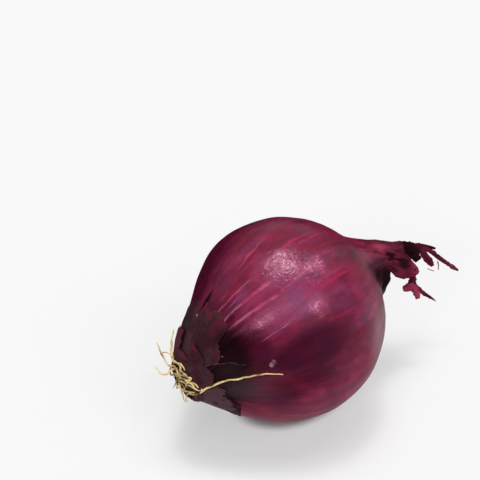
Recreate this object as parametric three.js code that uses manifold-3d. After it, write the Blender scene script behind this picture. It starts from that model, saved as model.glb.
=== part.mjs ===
import * as THREE from 'three';
import { mergeVertices } from 'three/addons/utils/BufferGeometryUtils.js';
import Module from 'manifold-3d';

// A red onion lying on its side. Lengths are in millimetres, +Z is up, and +X runs along the onion,
// from its root end towards its neck. The origin is the middle of the small flat spot it rests on.
// Places on the skin are given as along, the distance along the onion's axis from its widest ring,
// and turn, the angle round that axis in degrees: 0 on top, 90 on the -Y side, 180 underneath.

// Driving dimensions
const bellyHeight = 37.4; // the widest ring's middle above the flat spot
const bellyShift = -0.3; // the same point along X
const axisTilt = 8; // degrees, the neck end being the higher
const neckDroop = 15; // degrees by which the neck bends down again
const droopFrom = 30;
const droopTo = 54;
const rootEnd = -45;
const neckEnd = 50;
const ringStep = 3.2; // between the rings of the bulb's surface
const bulbSides = 40;
const plateSides = 20;
const skinSides = 60;
const rootSides = 6;
const rootStep = 1.8; // between the rings of a root
const bulbProfile = [ // [along, radius]
  [-45, 8.8], [-43, 10.8], [-38, 16.3], [-30, 24.9], [-18, 33.8], [-6, 37.8], [3, 38.1], [13, 36.2],
  [21, 32.1], [27, 27.1], [31.5, 21.6], [35, 17.2], [39, 13.6], [44, 10.4], [50, 7.7], [56, 5.9], [62, 5],
];
// The flatter part of the back flank
const flankDip = { depth: 4, along: -25, alongSpread: 12, turn: -54, turnSpread: 45 };
const touchGap = 0.5; // between pieces that touch each other
const skinThickness = 0.6;
const leafThickness = 0.7;
const plateRadius = 8;
const plateThickness = 2.2;
const plateCrown = 0.5;
const rootDiameter = 0.9;
const longRootDiameter = 1.1;

const bulbFinish = new THREE.MeshStandardMaterial({ color: '#6b2340', roughness: 0.35, metalness: 0 });
const outerSkinFinish = new THREE.MeshStandardMaterial({ color: '#3a2027', roughness: 0.7, metalness: 0 });
const leafFinish = new THREE.MeshStandardMaterial({ color: '#6e2a3c', roughness: 0.6, metalness: 0 });
const plateFinish = new THREE.MeshStandardMaterial({ color: '#7a6240', roughness: 0.9, metalness: 0 });
const rootFinish = new THREE.MeshStandardMaterial({ color: '#cdb273', roughness: 0.8, metalness: 0 });

const wasm = await Module();
wasm.setup();

// ---- Shape of the bulb ----

const profileKnots = bulbProfile.map(([along, radius]) => new THREE.Vector2(along, radius));
const profilePoints = new THREE.SplineCurve(profileKnots).getPoints(240);

function radiusAt(along) {
  const next = profilePoints.findIndex((point) => point.x >= along);
  if (next <= 0) {
    return profilePoints[0].y;
  }
  const [a, b] = [profilePoints[next - 1], profilePoints[next]];
  return THREE.MathUtils.mapLinear(along, a.x, b.x, a.y, b.y);
}

function dipAt(along, turn) {
  const away = THREE.MathUtils.euclideanModulo(turn - flankDip.turn + 180, 360) - 180;
  const alongShare = Math.exp(-(((along - flankDip.along) / flankDip.alongSpread) ** 2));
  return flankDip.depth * alongShare * Math.exp(-((away / flankDip.turnSpread) ** 2));
}

function slopeAt(along) {
  const drooped = THREE.MathUtils.smoothstep(along, droopFrom, droopTo);
  return THREE.MathUtils.degToRad(axisTilt - neckDroop * drooped);
}

// The middle of the onion at a distance along its axis, added up in steps of about a millimetre.
function axisPoint(along) {
  const steps = Math.max(1, Math.ceil(Math.abs(along)));
  const step = along / steps;
  const point = new THREE.Vector3(bellyShift, 0, bellyHeight);
  for (let i = 0; i < steps; i++) {
    const slope = slopeAt((i + 0.5) * step);
    point.x += step * Math.cos(slope);
    point.z += step * Math.sin(slope);
  }
  return point;
}

// A point lift above the skin, or below it, at a share of the radius.
function skinPoint(along, turn, lift = 0, share = 1) {
  const slope = slopeAt(along);
  const angle = THREE.MathUtils.degToRad(turn);
  const radius = share * (radiusAt(along) - dipAt(along, turn)) + lift;
  const up = new THREE.Vector3(-Math.sin(slope), 0, Math.cos(slope));
  const front = new THREE.Vector3(0, -1, 0);
  return axisPoint(along)
    .addScaledVector(up, radius * Math.cos(angle))
    .addScaledVector(front, radius * Math.sin(angle));
}

// ---- Tools for making pieces ----

// Moves each point of a geometry to where place(x, y, z) says.
function reshape(geometry, place) {
  const position = geometry.getAttribute('position');
  for (let i = 0; i < position.count; i++) {
    const point = place(position.getX(i), position.getY(i), position.getZ(i));
    position.setXYZ(i, point.x, point.y, point.z);
  }
  geometry.computeVertexNormals();
  return geometry;
}

// The value at a share from 0 to 1 of the way through an evenly spaced list.
function valueAt(list, share) {
  const place = THREE.MathUtils.clamp(share, 0, 1) * (list.length - 1);
  const low = Math.min(Math.floor(place), list.length - 2);
  return THREE.MathUtils.lerp(list[low], list[low + 1], place - low);
}

function latheTurn(x, z) {
  return THREE.MathUtils.radToDeg(Math.atan2(x, z));
}

function solidFrom(geometry) {
  const bare = geometry.clone();
  bare.deleteAttribute('normal');
  bare.deleteAttribute('uv');
  const merged = mergeVertices(bare, 1e-4);
  return new wasm.Manifold(new wasm.Mesh({
    numProp: 3,
    vertProperties: new Float32Array(merged.getAttribute('position').array),
    triVerts: new Uint32Array(merged.index.array),
  }));
}

function geometryFrom(solid) {
  const mesh = solid.getMesh();
  const geometry = new THREE.BufferGeometry();
  geometry.setAttribute('position', new THREE.BufferAttribute(new Float32Array(mesh.vertProperties), 3));
  geometry.setIndex(new THREE.BufferAttribute(new Uint32Array(mesh.triVerts), 1));
  geometry.computeVertexNormals();
  return geometry;
}

function joined(geometries) {
  return geometryFrom(geometries.map(solidFrom).reduce((whole, next) => whole.add(next)));
}

// A sheet that lies on the skin. Its ends run from one turn to the other, and from, to and lift are lists
// of values along that way: where the sheet starts and stops along the onion, and how far it stands off.
function skinSheet({
  turns, from, to, lift, tipLift = lift, thickness = skinThickness, across = 8, lengthways = 4,
}) {
  return reshape(new THREE.BoxGeometry(1, 1, 1, across, lengthways, 1), (x, y, z) => {
    const share = x + 0.5;
    const reach = y + 0.5;
    const along = THREE.MathUtils.lerp(valueAt(from, share), valueAt(to, share), reach);
    const off = THREE.MathUtils.lerp(valueAt(lift, share), valueAt(tipLift, share), reach);
    return skinPoint(along, valueAt(turns, share), off + (z + 0.5) * thickness);
  });
}

// A dried strip of leaf along a route, of the widths listed, cupped across its width.
// Its flat side faces outward.
const leafFacing = new THREE.Vector3(-0.5, -0.63, 0.59);
function leafStrip({ route, widths, cup = 0.15, thickness = leafThickness, steps = 12 }) {
  const curve = new THREE.CatmullRomCurve3(route.map((point) => new THREE.Vector3(...point)));
  return reshape(new THREE.BoxGeometry(1, 1, 1, steps, 4, 1), (x, y, z) => {
    const share = x + 0.5;
    const tangent = curve.getTangent(share);
    const side = new THREE.Vector3().crossVectors(leafFacing, tangent).normalize();
    const normal = new THREE.Vector3().crossVectors(tangent, side).normalize();
    const width = valueAt(widths, share);
    const fall = cup * width * (2 * y) ** 2;
    return curve.getPoint(share)
      .addScaledVector(side, y * width)
      .addScaledVector(normal, z * thickness - fall);
  });
}

// A thin round root along a route.
function rootTube(route, diameter) {
  const outline = [];
  for (let i = 0; i < rootSides; i++) {
    const angle = (i * 2 * Math.PI) / rootSides;
    outline.push(new THREE.Vector2(Math.cos(angle), Math.sin(angle)).multiplyScalar(diameter / 2));
  }
  const path = new THREE.CatmullRomCurve3(route.map((point) => new THREE.Vector3(...point)));
  const steps = Math.ceil(path.getLength() / rootStep) + 2;
  const options = { steps, bevelEnabled: false, extrudePath: path };
  return new THREE.ExtrudeGeometry(new THREE.Shape(outline), options);
}

const onion = new THREE.Group();

function addPiece(name, geometry, finish) {
  const mesh = new THREE.Mesh(geometry, finish);
  mesh.name = name;
  onion.add(mesh);
}

// ---- Bulb: the whole grown globe with its shoulder and neck, and the flat spot it rests on ----

function bulbGeometry() {
  const rings = Math.round((neckEnd - rootEnd) / ringStep);
  const outline = [new THREE.Vector2(0, rootEnd)];
  for (let i = 0; i <= rings; i++) {
    outline.push(new THREE.Vector2(1, THREE.MathUtils.lerp(rootEnd, neckEnd, i / rings)));
  }
  outline.push(new THREE.Vector2(0, neckEnd));
  const globe = reshape(new THREE.LatheGeometry(outline, bulbSides), (x, y, z) => (
    skinPoint(y, latheTurn(x, z), 0, Math.hypot(x, z))
  ));
  const floorDepth = 10;
  const floorWidth = 4 * bellyHeight;
  const floorBlock = new THREE.BoxGeometry(floorWidth, floorWidth, floorDepth);
  floorBlock.translate(0, 0, -floorDepth / 2);
  return geometryFrom(solidFrom(globe).subtract(solidFrom(floorBlock)));
}

addPiece('bulb', bulbGeometry(), bulbFinish);

// ---- Basal plate: the low disc of stem that the roots grow from ----

function plateGeometry() {
  const back = rootEnd - touchGap;
  const face = back - plateThickness;
  const outline = [
    new THREE.Vector2(0, face - plateCrown),
    new THREE.Vector2(plateRadius * 0.6, face - plateCrown * 0.6),
    new THREE.Vector2(plateRadius, face + plateCrown),
    new THREE.Vector2(plateRadius, back),
    new THREE.Vector2(0, back),
  ];
  return reshape(new THREE.LatheGeometry(outline, plateSides), (x, y, z) => (
    skinPoint(y, latheTurn(x, z), Math.hypot(x, z), 0)
  ));
}

addPiece('basal_plate', plateGeometry(), plateFinish);

// ---- Root-end skin: what is left of the dead outer skin, a ring with a torn edge round the root end ----

const skinInset = 0.3; // from the root end to where the skin starts
const skinRows = 7; // of faces from the root end to the torn edge
const tornEdge = [ // [turn, along]
  [-180, -33], [-160, -29.5], [-140, -32], [-118, -28], [-95, -30], [-70, -27], [-50, -27.3], [-31, -28.4],
  [-11, -28.9], [4, -29.8], [22, -30.7], [29, -34.8], [36, -36.7], [47, -38.1], [60, -40.2], [78, -39.6],
  [87, -38.9], [105, -39.2], [114, -36.3], [135, -35], [156, -32.5], [180, -33],
];

function tornEdgeAt(turn) {
  const next = Math.max(1, tornEdge.findIndex(([edgeTurn]) => edgeTurn >= turn));
  const [[turnA, alongA], [turnB, alongB]] = [tornEdge[next - 1], tornEdge[next]];
  return THREE.MathUtils.mapLinear(turn, turnA, turnB, alongA, alongB);
}

function rootEndSkinGeometry() {
  const [inner, outer] = [1, 2];
  const outline = [];
  for (let i = 0; i <= skinRows; i++) {
    outline.push(new THREE.Vector2(inner, i / skinRows));
  }
  for (let i = skinRows; i >= 0; i--) {
    outline.push(new THREE.Vector2(outer, i / skinRows));
  }
  outline.push(outline[0].clone());
  return reshape(new THREE.LatheGeometry(outline.reverse(), skinSides), (x, y, z) => {
    const turn = latheTurn(x, z);
    const along = THREE.MathUtils.lerp(rootEnd + skinInset, tornEdgeAt(turn), y);
    const layer = Math.hypot(x, z) - inner;
    return skinPoint(along, turn, touchGap + layer * skinThickness);
  });
}

addPiece('root_end_skin', rootEndSkinGeometry(), outerSkinFinish);

// ---- Loose scraps of outer skin over the root end ----

const overSkin = 2 * touchGap + skinThickness + 0.1; // how far out a scrap lies on the root-end skin
const scrapStart = [-44.2, -44.4, -44.4, -44.2]; // where each scrap starts along the onion
const skinScraps = {
  scrap_front_flap: {
    turns: [32, 45, 58, 74], to: [-42, -40.6, -39.8, -41.2],
    tipLift: [2, 2.2, 2.2, 1.9],
  },
  scrap_upper: {
    turns: [-18, -2, 12, 24], to: [-40, -38.2, -38.8, -41],
    tipLift: [2, 2.4, 2.4, 2],
  },
  scrap_back_curl: {
    turns: [-66, -54, -42, -30], to: [-39.6, -36.8, -36.6, -39.8],
    tipLift: [2.4, 3.2, 3.2, 2.4],
  },
  scrap_under: {
    turns: [94, 106, 120, 136], to: [-41, -38.6, -37.6, -39],
    tipLift: [2, 2.4, 2.4, 2],
  },
  scrap_far_side: {
    turns: [-150, -132, -114, -98], to: [-37.8, -35, -35.8, -38.6],
    tipLift: [2, 2.6, 2.4, 2],
  },
};

for (const [name, scrap] of Object.entries(skinScraps)) {
  const lift = Array(scrapStart.length).fill(overSkin);
  addPiece(name, skinSheet({ ...scrap, from: scrapStart, lift }), outerSkinFinish);
}

// ---- Neck leaves: the dried ends of the leaves, split into strips ----

// The upper leaf is rolled over the top of the neck and runs on past its end.
addPiece('neck_leaf_roll', skinSheet({
  turns: [-125, -95, -65, -35, -5, 25, 48], lift: Array(7).fill(touchGap),
  from: [46, 45, 44, 44, 44, 44.5, 45.5], to: [54, 57, 59.5, 60.5, 60.5, 59.5, 57],
  tipLift: [0.4, 0.3, 0.2, 0.1, 0.1, 0.2, 0.3], thickness: leafThickness, across: 12, lengthways: 6,
}), leafFinish);

addPiece('neck_leaf_curl', leafStrip({
  route: [
    [57.4, 0.8, 42.6], [60.6, 1, 43.4], [63.2, 0, 43.2], [64.4, -2.4, 42.2], [64.2, -5, 40.6],
    [63.6, -6.8, 38.6],
  ],
  widths: [3, 3.2, 4.4, 5, 4, 1.5],
}), leafFinish);

// The inner leaf splits into a short strip, a long one and a middle one.
addPiece('neck_leaf_upper', joined([
  leafStrip({
    route: [[58, 3.6, 40.2], [62, 3.6, 41.2], [65.8, 1.6, 42.2], [68.6, -1.6, 42], [71, -5, 41]],
    widths: [3.4, 3.2, 2.6, 1.8, 0.8],
  }),
  leafStrip({
    route: [
      [62, 3.6, 41.2], [66, 1, 41.4], [69, -3, 40.6], [71.6, -7, 38.2], [74, -10.6, 35.2],
      [76.6, -13.6, 32.8],
    ],
    widths: [2.4, 2.6, 2.8, 2, 2.2, 0.8],
  }),
  leafStrip({
    route: [[60, 3.6, 40.8], [64, 2, 41], [66.4, -1.4, 40.2], [67.2, -5.4, 38], [68.4, -8, 36.4]],
    widths: [3, 3, 3, 2.4, 1],
  }),
]), leafFinish);

// The lower leaf is turned out of the neck, hangs by a narrow stem and ends in torn fingers.
addPiece('neck_leaf_lower', joined([
  skinSheet({
    turns: [62, 76, 90, 106, 122], from: [47, 45.4, 45, 45.4, 47], to: [52, 53, 53.6, 53, 52],
    lift: Array(5).fill(touchGap), tipLift: [1.2, 1.6, 1.8, 1.6, 1.2], thickness: leafThickness,
  }),
  leafStrip({
    route: [[51.4, -8.4, 41.8], [54, -8.8, 41.8], [57, -8.6, 40.8], [58.6, -9.6, 38]],
    widths: [4, 6, 6.5, 3],
  }),
  leafStrip({
    route: [[58, -8, 39.6], [58.2, -9.2, 37.4], [57.6, -10, 35], [57, -10.6, 33], [56, -11.8, 30.4]],
    widths: [3, 2.4, 2.2, 3.6, 2.6],
  }),
  leafStrip({
    route: [[57.6, -9.8, 35], [58.8, -11.4, 32], [61, -13.6, 29], [63.6, -16.2, 26]],
    widths: [2, 3.2, 2.2, 0.8],
  }),
  leafStrip({
    route: [[57.6, -9.8, 35], [55.6, -9.4, 33.2], [53, -8.8, 31.6]],
    widths: [2, 3, 1.8],
  }),
]), leafFinish);

addPiece('neck_leaf_inner', leafStrip({
  route: [[51.6, -2.4, 42.4], [54.4, -3, 42.4], [57.6, -4, 41.6], [59.8, -5.2, 40.8]],
  widths: [3, 3.6, 3.4, 2],
}), leafFinish);

// ---- Roots ----

const plateFace = rootEnd - touchGap - plateThickness - plateCrown - touchGap - rootDiameter / 2;

// A point over the basal plate's face: how far out from its middle, at which turn and how high.
function platePoint(out, turn, height = 0) {
  return skinPoint(plateFace - height, turn, out, 0).toArray();
}

const outerRoots = {
  root_long: [
    platePoint(7, 104, 0.2), [-46.8, -9.8, 30.2], [-45, -12.4, 32.4], [-43.2, -14.6, 35.2],
    [-40.7, -16.9, 37.9], [-37.4, -19.2, 39.4], [-34, -22.8, 41.2], [-30.4, -26.6, 42.6],
    [-25.8, -30.8, 42.6],
  ],
  root_up: [
    platePoint(7.4, -40, 0.2), [-47.8, 7, 38], [-46.4, 8.8, 40], [-45, 10.4, 42.8], [-42.8, 11.8, 45.8],
  ],
  root_curved: [
    platePoint(7.2, -14, 0.6), [-51, 3.8, 36.8], [-51.4, 6.8, 37.4], [-50.8, 9.2, 39.2],
    [-50, 11.4, 41.6],
  ],
  root_arch: [platePoint(7, -62, 0.4), [-48.6, 8.4, 35.4], [-49.6, 10.6, 36.6], [-51.2, 11.6, 37.2]],
  root_low_left: [
    platePoint(7.2, 8, 0.6), [-51, 0.2, 36.8], [-52.2, 1.4, 35], [-53.2, 3.2, 33.8], [-54, 5.2, 33.4],
    [-54.4, 7.4, 35],
  ],
  root_short_front: [platePoint(7.2, 62, 0.4), [-50, -6, 34], [-51.4, -5.6, 33.2], [-52.4, -5.4, 31.8]],
  root_short_low: [platePoint(7, 132, 0.4), [-49.6, -6, 25.6], [-50.2, -6.8, 23.6], [-50.4, -7, 21.8]],
  root_under: [platePoint(7, 172, 0.4), [-48.6, -0.8, 22.4], [-48.8, -0.4, 19.8], [-48.2, 0.6, 17.4]],
  root_far_side: [
    platePoint(7, -110, 0.4), [-48.8, 8.6, 28], [-49.2, 11, 27.2], [-49, 13.4, 27.8], [-48, 15, 29.4],
  ],
  root_far_low: [platePoint(7, -148, 0.4), [-48.4, 5.4, 23.2], [-48.6, 7.4, 21.4], [-48, 9.6, 20.6]],
};

for (const [name, route] of Object.entries(outerRoots)) {
  addPiece(name, rootTube(route, name === 'root_long' ? longRootDiameter : rootDiameter), rootFinish);
}

// Short roots matted over the plate, each curled in its own sector.
const mattedRoots = 10;
for (let i = 0; i < mattedRoots; i++) {
  const turn = (i * 360) / mattedRoots + 18;
  const lean = i % 2 ? 14 : -14;
  const route = [
    platePoint(2.2, turn, 0), platePoint(3.2, turn + lean / 2, 1.1),
    platePoint(4.6, turn + lean / 3, 1.4), platePoint(5.6, turn - lean / 4, 0.7),
  ];
  addPiece(`root_matted_${i + 1}`, rootTube(route, rootDiameter), rootFinish);
}

export default onion;
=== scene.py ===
import math
import random
from bisect import bisect_left

import bpy
from mathutils import Matrix, Vector, noise


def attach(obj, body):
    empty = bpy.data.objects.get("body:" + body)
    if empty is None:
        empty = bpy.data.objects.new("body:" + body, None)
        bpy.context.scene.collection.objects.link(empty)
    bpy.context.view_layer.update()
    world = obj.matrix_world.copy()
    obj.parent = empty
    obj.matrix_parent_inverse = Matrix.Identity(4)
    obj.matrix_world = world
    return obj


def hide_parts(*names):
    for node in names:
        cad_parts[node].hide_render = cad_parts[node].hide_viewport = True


# A red onion lying on its side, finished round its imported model.
# Blender works in metres: +X runs from the root end to the neck, -Y is the front, +Z is up.
# Shapes are written in millimetres and degrees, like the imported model, and mm turns them into metres.
# A place on the skin is along (from the widest ring) and turn (0 on top, 90 in front, 180 underneath).

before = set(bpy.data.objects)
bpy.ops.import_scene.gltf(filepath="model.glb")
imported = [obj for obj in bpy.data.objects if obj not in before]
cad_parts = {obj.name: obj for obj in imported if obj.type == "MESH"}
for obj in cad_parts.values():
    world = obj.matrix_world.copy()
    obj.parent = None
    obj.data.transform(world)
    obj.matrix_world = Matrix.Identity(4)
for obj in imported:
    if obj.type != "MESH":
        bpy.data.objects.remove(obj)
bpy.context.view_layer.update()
mm = 0.001
print("frame loaded:", len(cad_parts), "nodes")


def smoothStep(value, low, high):
    share = min(1, max(0, (value - low) / (high - low)))
    return share * share * (3 - 2 * share)


def bell(distance, spread):
    return math.exp(-(distance / spread) ** 2)


def turnGap(turn, other):
    return (turn - other + 180) % 360 - 180


def waver(x, y, z):
    # smooth noise, between about -0.7 and 0.7
    return noise.noise(Vector((x, y, z)))


def valueAt(values, share):
    # the value at a share from 0 to 1 of the way through an evenly spaced list
    place = min(1, max(0, share)) * (len(values) - 1)
    low = min(int(place), len(values) - 2)
    return values[low] + (values[low + 1] - values[low]) * (place - low)


def knotAt(knots, turn):
    # the value between the two knots round a turn; knots are (turn, value) from -180 to 180
    upper = max(1, next(i for i, knot in enumerate(knots) if knot[0] >= turn))
    (turnA, valueA), (turnB, valueB) = knots[upper - 1], knots[upper]
    return valueA + (valueB - valueA) * (turn - turnA) / (turnB - turnA)


def curveThrough(knots, place):
    # a smooth curve through all the knots; place counts knots from 0
    low = min(int(place), len(knots) - 2)
    share = place - low
    before, start, end, after = (
        Vector(knots[max(low - 1, 0)]), Vector(knots[low]), Vector(knots[low + 1]),
        Vector(knots[min(low + 2, len(knots) - 1)]),
    )
    leave = (end - before) / 2
    arrive = (after - start) / 2
    return (
        start * (2 * share ** 3 - 3 * share ** 2 + 1) + leave * (share ** 3 - 2 * share ** 2 + share)
        + end * (3 * share ** 2 - 2 * share ** 3) + arrive * (share ** 3 - share ** 2)
    )


def applyModifier(piece, kind, **settings):
    modifier = piece.modifiers.new(kind.title(), kind)
    for setting, value in settings.items():
        setattr(modifier, setting, value)
    bpy.context.view_layer.objects.active = piece
    bpy.ops.object.modifier_apply(modifier=modifier.name)


def deselectAll():
    bpy.ops.object.select_all(action="DESELECT")


def addRing(sides, radius, along, filled="NOTHING"):
    # a circle that faces along the onion, left in edit mode with everything selected
    deselectAll()
    bpy.ops.mesh.primitive_circle_add(
        vertices=sides, radius=radius * mm, location=(along * mm, 0, 0), rotation=(0, math.pi / 2, 0),
        fill_type=filled,
    )
    bpy.ops.object.transform_apply(location=True, rotation=True, scale=True)
    bpy.ops.object.mode_set(mode="EDIT")
    bpy.ops.mesh.select_mode(type="EDGE")
    bpy.ops.mesh.select_all(action="SELECT")
    return bpy.context.object


def turnFacesOut():
    bpy.ops.mesh.select_all(action="SELECT")
    bpy.ops.mesh.normals_make_consistent(inside=False)


def joinPieces(pieces):
    deselectAll()
    for piece in pieces:
        piece.select_set(True)
    bpy.context.view_layer.objects.active = pieces[0]
    if len(pieces) > 1:
        bpy.ops.object.join()
    return bpy.context.view_layer.objects.active


def setVectors(piece, **attributes):
    # what the materials read: three numbers for each point of the mesh
    for name, values in attributes.items():
        piece.data.attributes.new(name, "FLOAT_VECTOR", "POINT").data.foreach_set("vector", values)


def finishPiece(piece, name, material, slot, *nodes):
    # name it, smooth it, colour it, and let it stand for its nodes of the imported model
    piece.name = name
    piece.data.name = name
    piece.data.materials.clear()
    piece.data.materials.append(material)
    for face in piece.data.polygons:
        face.use_smooth = True
    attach(piece, "root")
    if nodes:
        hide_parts(*nodes)


onionForm = {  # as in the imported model
    "bellyHeight": 37.4,
    "bellyShift": -0.3,
    "axisTilt": 8,
    "neckDroop": 15,
    "droopFrom": 30,
    "droopTo": 54,
    "rootEnd": -45,
    "profile": [  # along, radius
        (-45, 8.8), (-43, 10.8), (-38, 16.3), (-30, 24.9), (-18, 33.8), (-6, 37.8), (3, 38.1), (13, 36.2),
        (21, 32.1), (27, 27.1), (31.5, 21.6), (35, 17.2), (39, 13.6), (44, 10.4), (50, 7.7), (56, 5.9),
        (62, 5),
    ],
    "dipDepth": 4,  # the flatter part of the back flank
    "dipAlong": -25,
    "dipAlongSpread": 12,
    "dipTurn": -54,
    "dipTurnSpread": 45,
}

patternLength = 38  # so much along the skin counts as one in the skin's patterns
profileSteps = 240
profilePoints = [
    curveThrough(onionForm["profile"], i / profileSteps * (len(onionForm["profile"]) - 1))
    for i in range(profileSteps + 1)
]
profileAlongs = [point.x for point in profilePoints]


def radiusAt(along):
    upper = min(max(bisect_left(profileAlongs, along), 1), profileSteps)
    a, b = profilePoints[upper - 1], profilePoints[upper]
    share = min(1, max(0, (along - a.x) / (b.x - a.x)))
    return a.y + (b.y - a.y) * share


def dipAt(along, turn):
    form = onionForm
    inAlong = bell(along - form["dipAlong"], form["dipAlongSpread"])
    return form["dipDepth"] * inAlong * bell(turnGap(turn, form["dipTurn"]), form["dipTurnSpread"])


def slopeAt(along):
    form = onionForm
    droop = form["neckDroop"] * smoothStep(along, form["droopFrom"], form["droopTo"])
    return math.radians(form["axisTilt"] - droop)


axisStep = 0.5
axisReach = 160  # steps each way from the belly
axisPlaces = {0: (onionForm["bellyShift"], onionForm["bellyHeight"])}
for way in (1, -1):
    x, z = axisPlaces[0]
    for i in range(axisReach):
        slope = slopeAt(way * (i + 0.5) * axisStep)
        x += way * axisStep * math.cos(slope)
        z += way * axisStep * math.sin(slope)
        axisPlaces[way * (i + 1)] = (x, z)


def axisAt(along):
    low = math.floor(along / axisStep)
    share = along / axisStep - low
    (lowX, lowZ), (highX, highZ) = axisPlaces[low], axisPlaces[low + 1]
    return lowX + (highX - lowX) * share, lowZ + (highZ - lowZ) * share


def spokePoint(along, turn, radius):
    # a point in metres at a radius in millimetres from the onion's axis
    slope = slopeAt(along)
    x, z = axisAt(along)
    up = radius * math.cos(math.radians(turn))
    front = radius * math.sin(math.radians(turn))
    return Vector((x - math.sin(slope) * up, -front, z + math.cos(slope) * up)) * mm


def skinPoint(along, turn, lift=0.0):
    return spokePoint(along, turn, radiusAt(along) - dipAt(along, turn) + lift)


def meridian(along, turn):
    # a seamless place on the skin for patterns that run from root to neck
    angle = math.radians(turn)
    return Vector((math.cos(angle), math.sin(angle), along / patternLength))


def waverRound(turn, scale, depth, shift=0):
    # smooth noise that closes on itself round the onion
    onSkin = meridian(0, turn)
    return waver(onSkin.x * scale + shift, onSkin.y * scale, depth)


cameraPlace = {
    "azimuth": -39,
    "elevation": 36,
    "distance": 0.6,
    "lens": 120,
    "aimRight": -0.0165,  # the onion stands to the right of and below the middle of the picture
    "aimUp": 0.0298,
}


def directionTo(azimuth, elevation):
    # azimuth counts from +X towards +Y
    azimuth, elevation = math.radians(azimuth), math.radians(elevation)
    flat = math.cos(elevation)
    return Vector((math.cos(azimuth) * flat, math.sin(azimuth) * flat, math.sin(elevation)))


def makeCamera(place):
    target = Vector((onionForm["bellyShift"], 0, onionForm["bellyHeight"])) * mm
    back = directionTo(place["azimuth"] - 90, place["elevation"])
    right = directionTo(place["azimuth"], 0)
    up = back.cross(right)
    location = target + back * place["distance"]
    aim = target + right * place["aimRight"] + up * place["aimUp"]
    back = (location - aim).normalized()
    right = up.cross(back).normalized()
    up = back.cross(right)
    bpy.ops.object.camera_add(location=location)
    camera = bpy.context.object
    camera.matrix_world = Matrix((right, up, back)).transposed().to_4x4()
    camera.location = location
    camera.data.lens = place["lens"]
    camera.data.sensor_width = 36
    camera.data.clip_start = 0.01
    bpy.context.scene.camera = camera


makeCamera(cameraPlace)


# In the node tools a value may be a number, a colour or another node's output.
def newMaterial(name, **sockets):
    material = bpy.data.materials.new(name)
    material.use_nodes = True
    shader = material.node_tree.nodes["Principled BSDF"]
    for socket, value in sockets.items():
        shader.inputs[socket.replace("_", " ")].default_value = value
    return material, material.node_tree, shader


def feed(tree, shader, **outputs):
    for socket, output in outputs.items():
        tree.links.new(output, shader.inputs[socket.replace("_", " ")])


def addNode(tree, kind, values, **settings):
    node = tree.nodes.new("ShaderNode" + kind)
    for setting, value in settings.items():
        setattr(node, setting, value)
    for socket, value in values.items():
        if isinstance(value, bpy.types.NodeSocket):
            tree.links.new(value, node.inputs[socket])
        else:
            node.inputs[socket].default_value = value
    return node


def objectPlace(tree):
    return addNode(tree, "TexCoord", {}).outputs["Object"]


def readAttribute(tree, name):
    return addNode(tree, "Attribute", {}, attribute_name=name).outputs["Vector"]


def partsOf(tree, vector):
    return addNode(tree, "SeparateXYZ", {0: vector}).outputs


def distanceTo(tree, place, centre):
    return addNode(tree, "VectorMath", {0: place, 1: centre}, operation="DISTANCE").outputs["Value"]


def cloud(tree, place, scale, detail=3, roughness=0.5, distortion=0):
    # noise; a scale of three numbers stretches it
    if isinstance(scale, tuple):
        place = addNode(tree, "Mapping", {"Vector": place, "Scale": scale}).outputs[0]
        scale = 1
    values = {
        "Vector": place, "Scale": scale, "Detail": detail, "Roughness": roughness, "Distortion": distortion,
    }
    return addNode(tree, "TexNoise", values).outputs[0]


def spanned(tree, value, low, high, toLow=0, toHigh=1):
    values = {0: value, 1: low, 2: high, 3: toLow, 4: toHigh}
    return addNode(tree, "MapRange", values, interpolation_type="SMOOTHSTEP").outputs[0]


def calc(tree, operation, first, second=0.0):
    return addNode(tree, "Math", {0: first, 1: second}, operation=operation).outputs[0]


def times(tree, first, *others):
    for other in others:
        first = calc(tree, "MULTIPLY", first, other)
    return first


def swayed(tree, value, pattern, amount):
    # a value moved up and down by a pattern whose middle is 0.5
    return calc(tree, "ADD", value, times(tree, calc(tree, "SUBTRACT", pattern, 0.5), amount))


def blended(tree, share, first, second, way="MIX"):
    return addNode(tree, "Mix", {0: share, 6: first, 7: second}, data_type="RGBA", blend_type=way).outputs[2]


def bumped(tree, height, distance, normal=None):
    values = {"Height": height, "Distance": distance, "Strength": 1}
    if normal is not None:
        values["Normal"] = normal
    return addNode(tree, "Bump", values).outputs[0]


def ridge(tree, value, width):
    # 1 along the lines where the value passes through its middle, 0 away from them
    return spanned(tree, calc(tree, "ABSOLUTE", calc(tree, "SUBTRACT", value, 0.5)), 0, width, 1, 0)


skinColours = {
    "magenta": (0.264, 0.034, 0.103, 1),
    "crimson": (0.17, 0.013, 0.04, 1),
    "deep": (0.061, 0.003, 0.017, 1),
    "black": (0.009, 0.0015, 0.0035, 1),
    "vein": (0.47, 0.115, 0.205, 1),
    "redVein": (0.43, 0.022, 0.09, 1),
    "vivid": (0.33, 0.014, 0.066, 1),
    "dull": (0.09, 0.026, 0.05, 1),
    "paintedGlow": (0.42, 0.08, 0.175, 1),
    "paintedGlint": (0.7, 0.25, 0.4, 1),
    "pale": (0.42, 0.26, 0.3, 1),
}

paleVeins = [  # where it starts: along, turn; where it ends: along, turn; half width; strength
    (-17, 0, 1, -4, 0.6, 0.5), (-33, 7, -14, 12.5, 0.65, 0.65), (-34, 16.3, -10, 22.5, 1.0, 0.75),
    (-34, 25.2, -11, 31.5, 0.9, 0.7), (-29, 13, -20, 15, 0.4, 0.55), (-26, 49, -12, 46.5, 0.28, 0.8),
    (-7, 53.5, 1, 53, 0.25, 0.6), (-13, 31, 4, 27, 0.8, 0.35), (-28, 3, -21, 4.5, 0.45, 0.5),
    (-31, 34, -24, 36, 0.45, 0.4), (-34, 34, -25, 39, 0.5, 0.25), (-26, -118, -2, -122, 0.5, 0.6),
    (-20, -96, 6, -92, 0.45, 0.5), (-24, 150, 4, 158, 0.5, 0.6), (-10, -150, 14, -146, 0.4, 0.5),
]

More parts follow.
